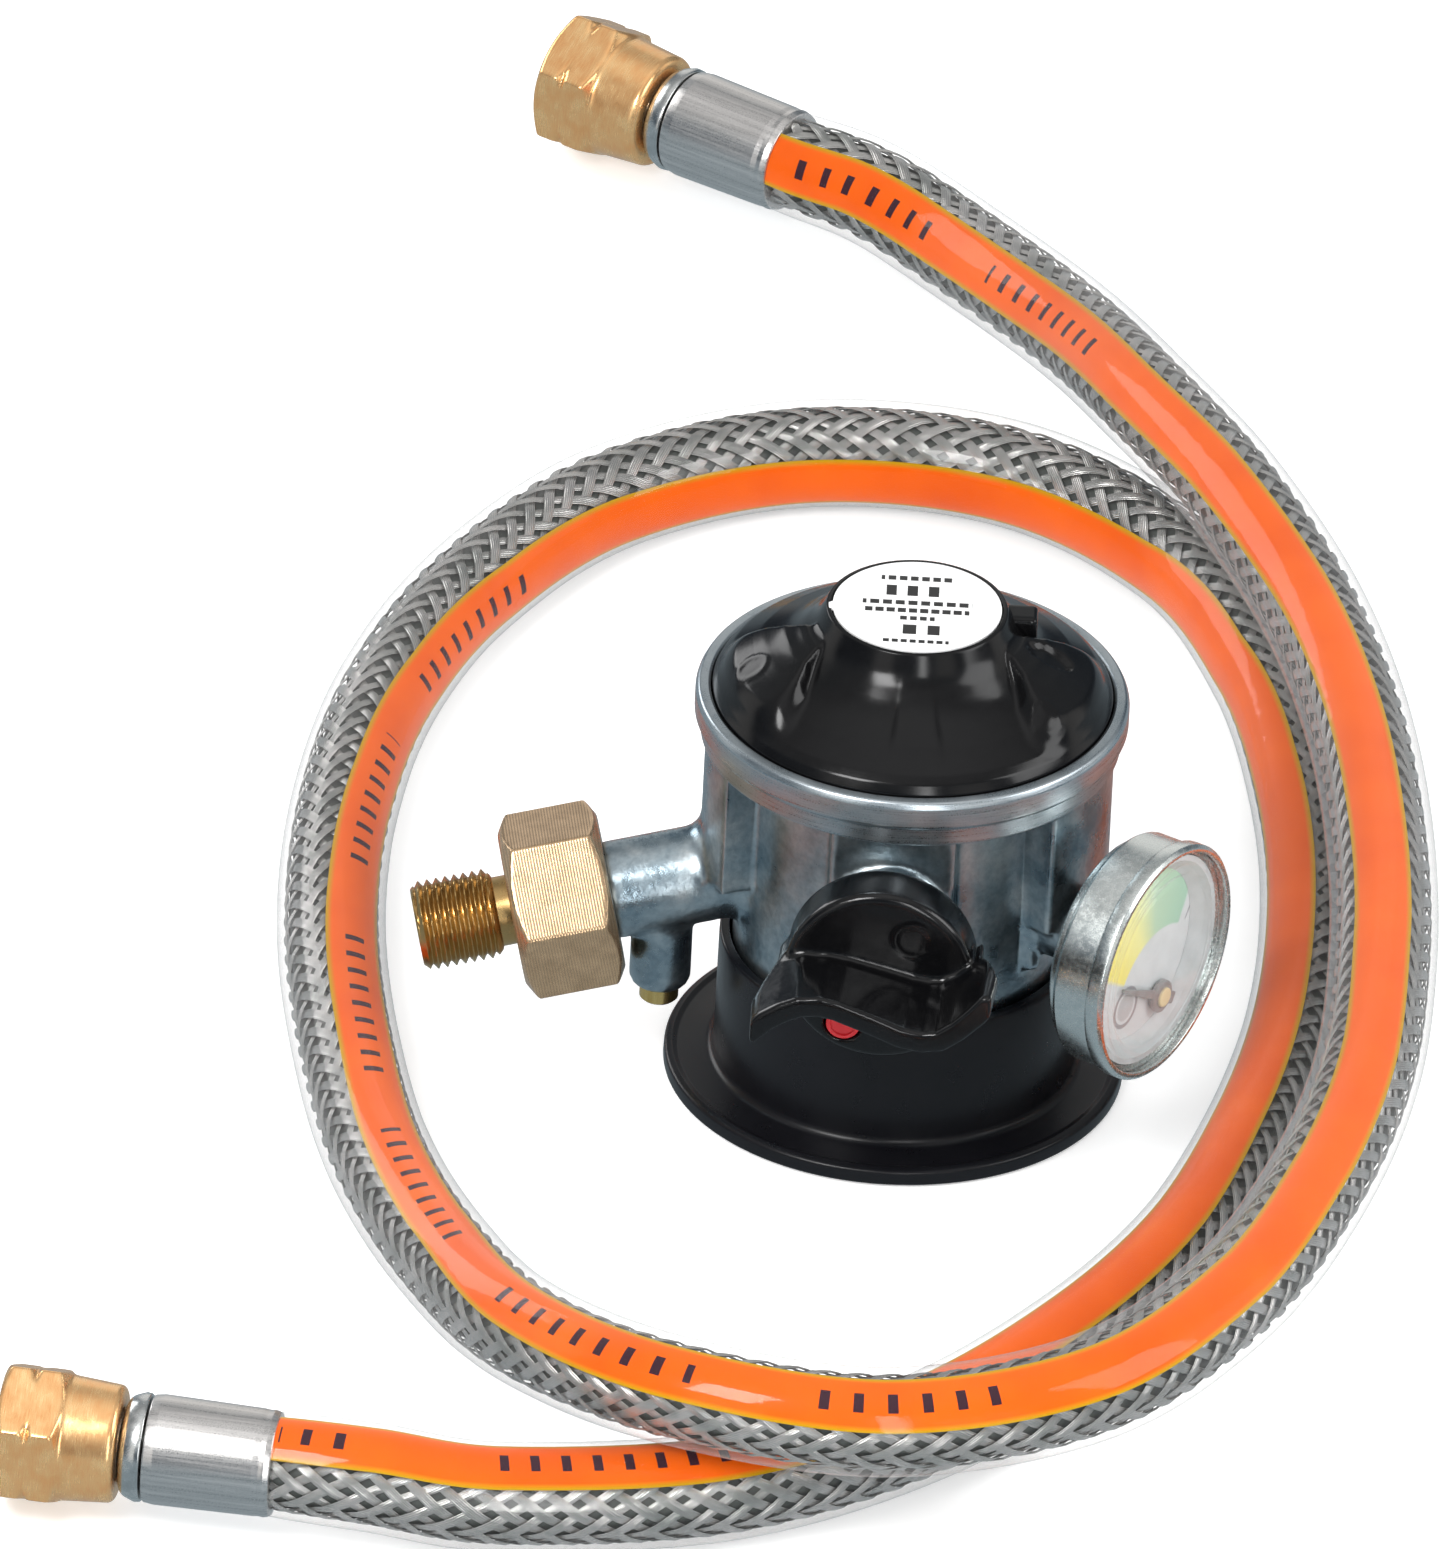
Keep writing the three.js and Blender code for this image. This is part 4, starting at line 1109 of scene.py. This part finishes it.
def pressure_gauge():
    gauge_part("gauge_can", [
        (4.3, 34.5), (14.6, 34.5, 0.8), (15.9, 35.3, 0.5), (16, 36.4), (17.1, 36.6, 0.3),
        (17.5, 37.2, 0.4), (17.5, 42.5), (17.3, 42.5), (17.3, 43.4), (16.3, 43.4), (16.3, 37.2), (4.3, 37.2),
    ], can_steel, "plated_steel", replaces=("gauge_case",))
    gauge_part("gauge_rim", [
        (17.4, 42.6), (17.95, 42.6, 0.15), (18.1, 43.0), (18.1, 44.8, 0.35), (17.6, 45.3, 0.25),
        (17.0, 45.3, 0.2), (16.9, 44.8), (17.4, 44.7),
    ], can_steel, "plated_steel", replaces=("gauge_bezel",))
    gauge_part("gauge_window", [
        (0, 45.1), (12.2, 44.9, 0.4), (13.0, 44.3, 0.2), (13.4, 44.4), (13.7, 45.2, 0.25),
        (14.5, 45.35, 0.25), (14.9, 44.8, 0.1), (15.3, 44.8), (15.6, 45.35, 0.2), (16.2, 45.4, 0.2),
        (16.7, 44.7), (16.7, 43.8), (0, 44.2),
    ], window_clear, "lens", replaces=("gauge_lens",))
    gauge_part("dial_surround", [
        (13.2, 41.05), (15.9, 41.05), (16.1, 43.6), (15.2, 43.6), (14.6, 42.6, 0.3),
    ], surround_white, "dial")
    gauge_part("dial_disc", [(0, 40.5), (15.9, 40.5), (15.9, 41.0), (0, 41.0)], dial_material(), "dial",
               replaces=("gauge_dial",))


def needle():
    """A slim pointer with a weighted tail, a grey hub and a brass cap on its arbor."""
    low, high = (HUB.x - 14.5, HUB.y - 6, 40.9), (HUB.x + 6.5, HUB.y + 9, 43.2)
    block = Field(GAUGE, low, high, 0.15)
    rest = math.radians(-30)
    x, y, z = block.axes
    x, y = x - HUB.x, y - HUB.y
    x, y = x * math.cos(rest) + y * math.sin(rest), y * math.cos(rest) - x * math.sin(rest)
    here = (x, y, z)
    half = np.interp(x, [-12.5, 4], [0.28, 0.95])
    arm = np.maximum(np.maximum(np.abs(y) - half, np.abs(x + 4.25) - 8.25), np.abs(z - 41.85) - 0.26)
    arm = join(arm, rod_field(here, 2.5, 41.4, 42.35, 0.15), 0.3)
    shape = join(arm, rod_field(here, 1.5, 41.4, 42.8, 0.2), 0.1)
    shape = join(shape, rod_field(here, 0.6, 40.95, 42))
    block.piece("pointer", shape, pointer_grey, "gauge_needle", "spring_steel", replaces=("gauge_needle",),
                sharp=60)


def pointer_material():
    """Grey paint with a brass arbor showing in the middle of the hub."""
    material, tree, shader = new_material("pointer_grey")
    x, y = from_hub(tree)
    arbor = (x * x + y * y).remap(2.1, 2.5, 1, 0)
    grain = noise(tree, object_place(tree), 700, 3)
    grey = grain.ramp((0.3, (0.20, 0.19, 0.19)), (0.7, (0.29, 0.28, 0.28)))
    attach(tree, shader, Base_Color=mix_colour(tree, arbor, grey, (0.72, 0.60, 0.34)), Roughness=0.4)
    return material


pivot_local = GAUGE.inverted() @ PIVOT
HUB = Vector((pivot_local.x, pivot_local.y))
can_steel = spotted_steel("can_steel", ((0.66, 0.71, 0.70), (0.86, 0.89, 0.87)), (0.20, 0.32))
window_clear = clear_skin("window_clear", (0.88, 0.91, 0.91), 0.02, 0.16, 0.05, 0.02)
surround_white = moulded("surround_white", (0.56, 0.59, 0.60), (0.35, 0.45), 300, 0.01)
pointer_grey = pointer_material()
pressure_gauge()
needle()


# -------- hose fittings

MOUTH_BACK = 32.4                 # from a nut's joint back to the end of the hose
HEX_START, HEX_END, HEX_FLATS = 31.4, 40.9, 19
BARREL_START = 23.4
LEVEL = 0.7071                    # turns a gap measured along a 45 degree slope into a distance


def hose_fitting(letter, turn):
    """A crimped ferrule, the tail with its rounded collar, and the notched swivel nut."""
    joint = JOINTS[f"swivel_nut_{letter}_spin"]
    axis = Vector(joint["axis"])
    frame_here = outward_frame(axis, 0, Vector(joint["pos_m"]) / MM - MOUTH_BACK * axis)

    def lathe(name, outline, material, node, slot):
        return turned_piece(f"{name}_{letter}", outline, 72, material, "regulator", slot, frame_here,
                            sharp=40, replaces=(f"{node}_{letter}",))

    crimp = lathe("crimp", [
        (5.2, 0.6), (7.55, 0.6, 0.3), (7.85, 1.6, 0.6), (7.75, 2.3, 0.4), (7.85, 3.2, 0.8),
        (8.05, 17.7, 0.8), (7.8, 19.3, 0.3), (5.2, 19.3),
    ], ferrule_steel, "ferrule", "plated_steel")
    tail = lathe("tail", [
        (3.2, -8), (4.4, -8), (4.4, 19.55), (7.9, 19.6, 0.25), (8.0, 20.5), (7.2, 22.6, 1.6),
        (5.6, 23.1, 0.4), (5.0, 23.3), (5.0, 25.9), (6.6, 26.7), (6.6, 30.8), (5.6, 31.9), (3.2, 31.9),
    ], tail_steel, "hose_tail", "plated_steel")

    block = Field(frame_here, (-11.6, -11.6, BARREL_START - 0.6), (11.6, 11.6, HEX_END + 0.7), 0.28)
    x, y, z = here = block.axes
    hexagon = hex_field(here, HEX_FLATS, HEX_START, HEX_END, turn, low_face=9.15, high_face=9.0)
    around = np.hypot(x, y)
    notch = (10.15 - around) * 0.5 + (np.abs(z - (HEX_START + HEX_END) / 2) - 0.25) * 0.86
    hexagon = cut(hexagon, np.maximum(notch, 9.6 - around))
    barrel = (around - np.interp(z, [BARREL_START, HEX_START + 1], [8.55, 9.25])) * 0.99
    barrel = np.maximum(barrel, np.maximum(BARREL_START - z, z - HEX_START - 2))
    barrel = np.maximum(barrel, ((around - 8.0) + (BARREL_START - z)) * LEVEL)
    nut = softened(join(hexagon, barrel, 0.3), 0.5)
    nut = cut(nut, rod_field(here, 5.5, 18, 28.3))
    nut = cut(nut, rod_field(here, 6.9, 26.3, 50))
    threads = 0.35 * np.abs(((z / PITCH + np.arctan2(y, x) / (2 * math.pi)) % 1.0) - 0.5)
    nut = cut(nut, np.maximum(around - 7.0 - threads, 32.5 - z))
    nut = cut(nut, (around - 7.9 + (HEX_END - z)) * LEVEL)
    piece = block.piece(f"nut_{letter}", nut, nut_copper, f"swivel_nut_{letter}", "brass",
                        replaces=(f"swivel_nut_{letter}",), sharp=70)
    return [crimp, tail, piece]


def copper_brass():
    """Warm reddish brass, finely brushed across the flats."""
    material, tree, shader = new_material("copper_brass")
    strokes = noise(tree, local_place(tree, (0.5, 0.5, 7)), 1.0, 4, 0.6)
    both = strokes * 0.5 + noise(tree, local_place(tree), 0.35, 3, 0.5) * 0.5
    attach(tree, shader, Base_Color=both.ramp((0.35, (0.92, 0.46, 0.18)), (0.65, (1.0, 0.66, 0.32))),
           Roughness=both.remap(0.3, 0.7, 0.16, 0.32), Metallic=0.85)
    bump(tree, shader, both, 0.015, 0.5)
    return material


nut_copper = copper_brass()
crimp_tones = ((0.56, 0.55, 0.54), (0.88, 0.85, 0.83))
ferrule_steel = spotted_steel("ferrule_steel", crimp_tones, (0.24, 0.38), (1.6, 1.6, 0.03), 1.0)
steel_tones = ((0.48, 0.50, 0.50), (0.78, 0.79, 0.78))
tail_steel = spotted_steel("tail_steel", steel_tones, (0.16, 0.30), (0.4, 0.4, 0.4), 1.0, 0.005)
fitting_pieces = hose_fitting("a", 30) + hose_fitting("b", 30)


# -------- studio

def area_light(name, place, size, power):
    """A soft rectangular light that faces the regulator. Places are in millimetres from its axis."""
    light = bpy.data.lights.new(name, "AREA")
    light.shape = "RECTANGLE"
    light.size, light.size_y = size[0] * MM, size[1] * MM
    light.energy = power
    lamp = bpy.data.objects.new(name, light)
    bpy.context.scene.collection.objects.link(lamp)
    lamp.location = (AXIS + Vector(place)) * MM
    aim = (AXIS + Vector((0, 0, 35))) * MM - lamp.location
    lamp.rotation_euler = aim.to_track_quat("-Z", "Y").to_euler()


def glossy_ray(tree):
    """1 where a surface is seen in a reflection."""
    return tree.nodes.new("ShaderNodeLightPath").outputs["Is Glossy Ray"]


def studio_floor():
    """A pale sheet that looks dim and bluish in reflections, so that bare metal keeps its contrast."""
    half, drop = 3000 * MM, 0.05 * MM
    corners = [(-half, -half, -drop), (half, -half, -drop), (half, half, -drop), (-half, half, -drop)]
    mesh = bpy.data.meshes.new("floor")
    mesh.from_pydata(corners, [], [(0, 1, 2, 3)])
    floor = bpy.data.objects.new("floor", mesh)
    bpy.context.scene.collection.objects.link(floor)
    material, tree, shader = new_material("pale_floor")
    attach(tree, shader, Base_Color=(0.95, 0.95, 0.95), Roughness=0.9, Specular_IOR_Level=0.0,
           Emission_Color=(1.0, 1.0, 1.0), Emission_Strength=0.38)
    dim = tree.nodes.new("ShaderNodeEmission")
    attach(tree, dim, Color=(0.29, 0.35, 0.385), Strength=1.0)
    show(tree, mix_shader(tree, glossy_ray(tree), shader, dim))
    mesh.materials.append(material)


def studio_world():
    """White all round for diffuse light. Reflections see a grey ceiling and dark blue walls with panels."""
    world = bpy.data.worlds.new("studio")
    bpy.context.scene.world = world
    world.use_nodes = True
    tree = world.node_tree
    split = tree.nodes.new("ShaderNodeSeparateXYZ")
    attach(tree, split, Vector=tree.nodes.new("ShaderNodeTexCoord").outputs["Generated"])
    x, y, z = [Number(tree, split.outputs[k]) for k in range(3)]
    height = z.remap(-1, 1, 0, 1)
    sky = height.ramp(
        (0.0, (0.30, 0.34, 0.38)), (0.50, (0.10, 0.13, 0.16)), (0.60, (0.045, 0.065, 0.085)),
        (0.70, (0.16, 0.19, 0.22)), (0.80, (0.30, 0.32, 0.33)), (0.90, (0.36, 0.36, 0.36)),
        (1.0, (0.85, 0.85, 0.85)),
    )
    panels = (y.apply("ARCTAN2", x) * 5).apply("SINE").remap(0.35, 0.75, 0, 1)
    lit = mix_colour(tree, panels * height.remap(0.72, 0.80, 1, 0), sky, (0.80, 0.79, 0.77))
    colour = mix_colour(tree, glossy_ray(tree), (0.95, 0.95, 0.95), lit)
    attach(tree, tree.nodes["Background"], Color=colour)


studio_world()
studio_floor()
area_light("key", (-350, -500, 620), (260, 300), 3.8)
area_light("front_strip", (120, -700, 260), (90, 500), 1.1)
area_light("fill", (600, -150, 420), (400, 400), 2)
area_light("back", (-500, 500, 300), (300, 300), 1.0)
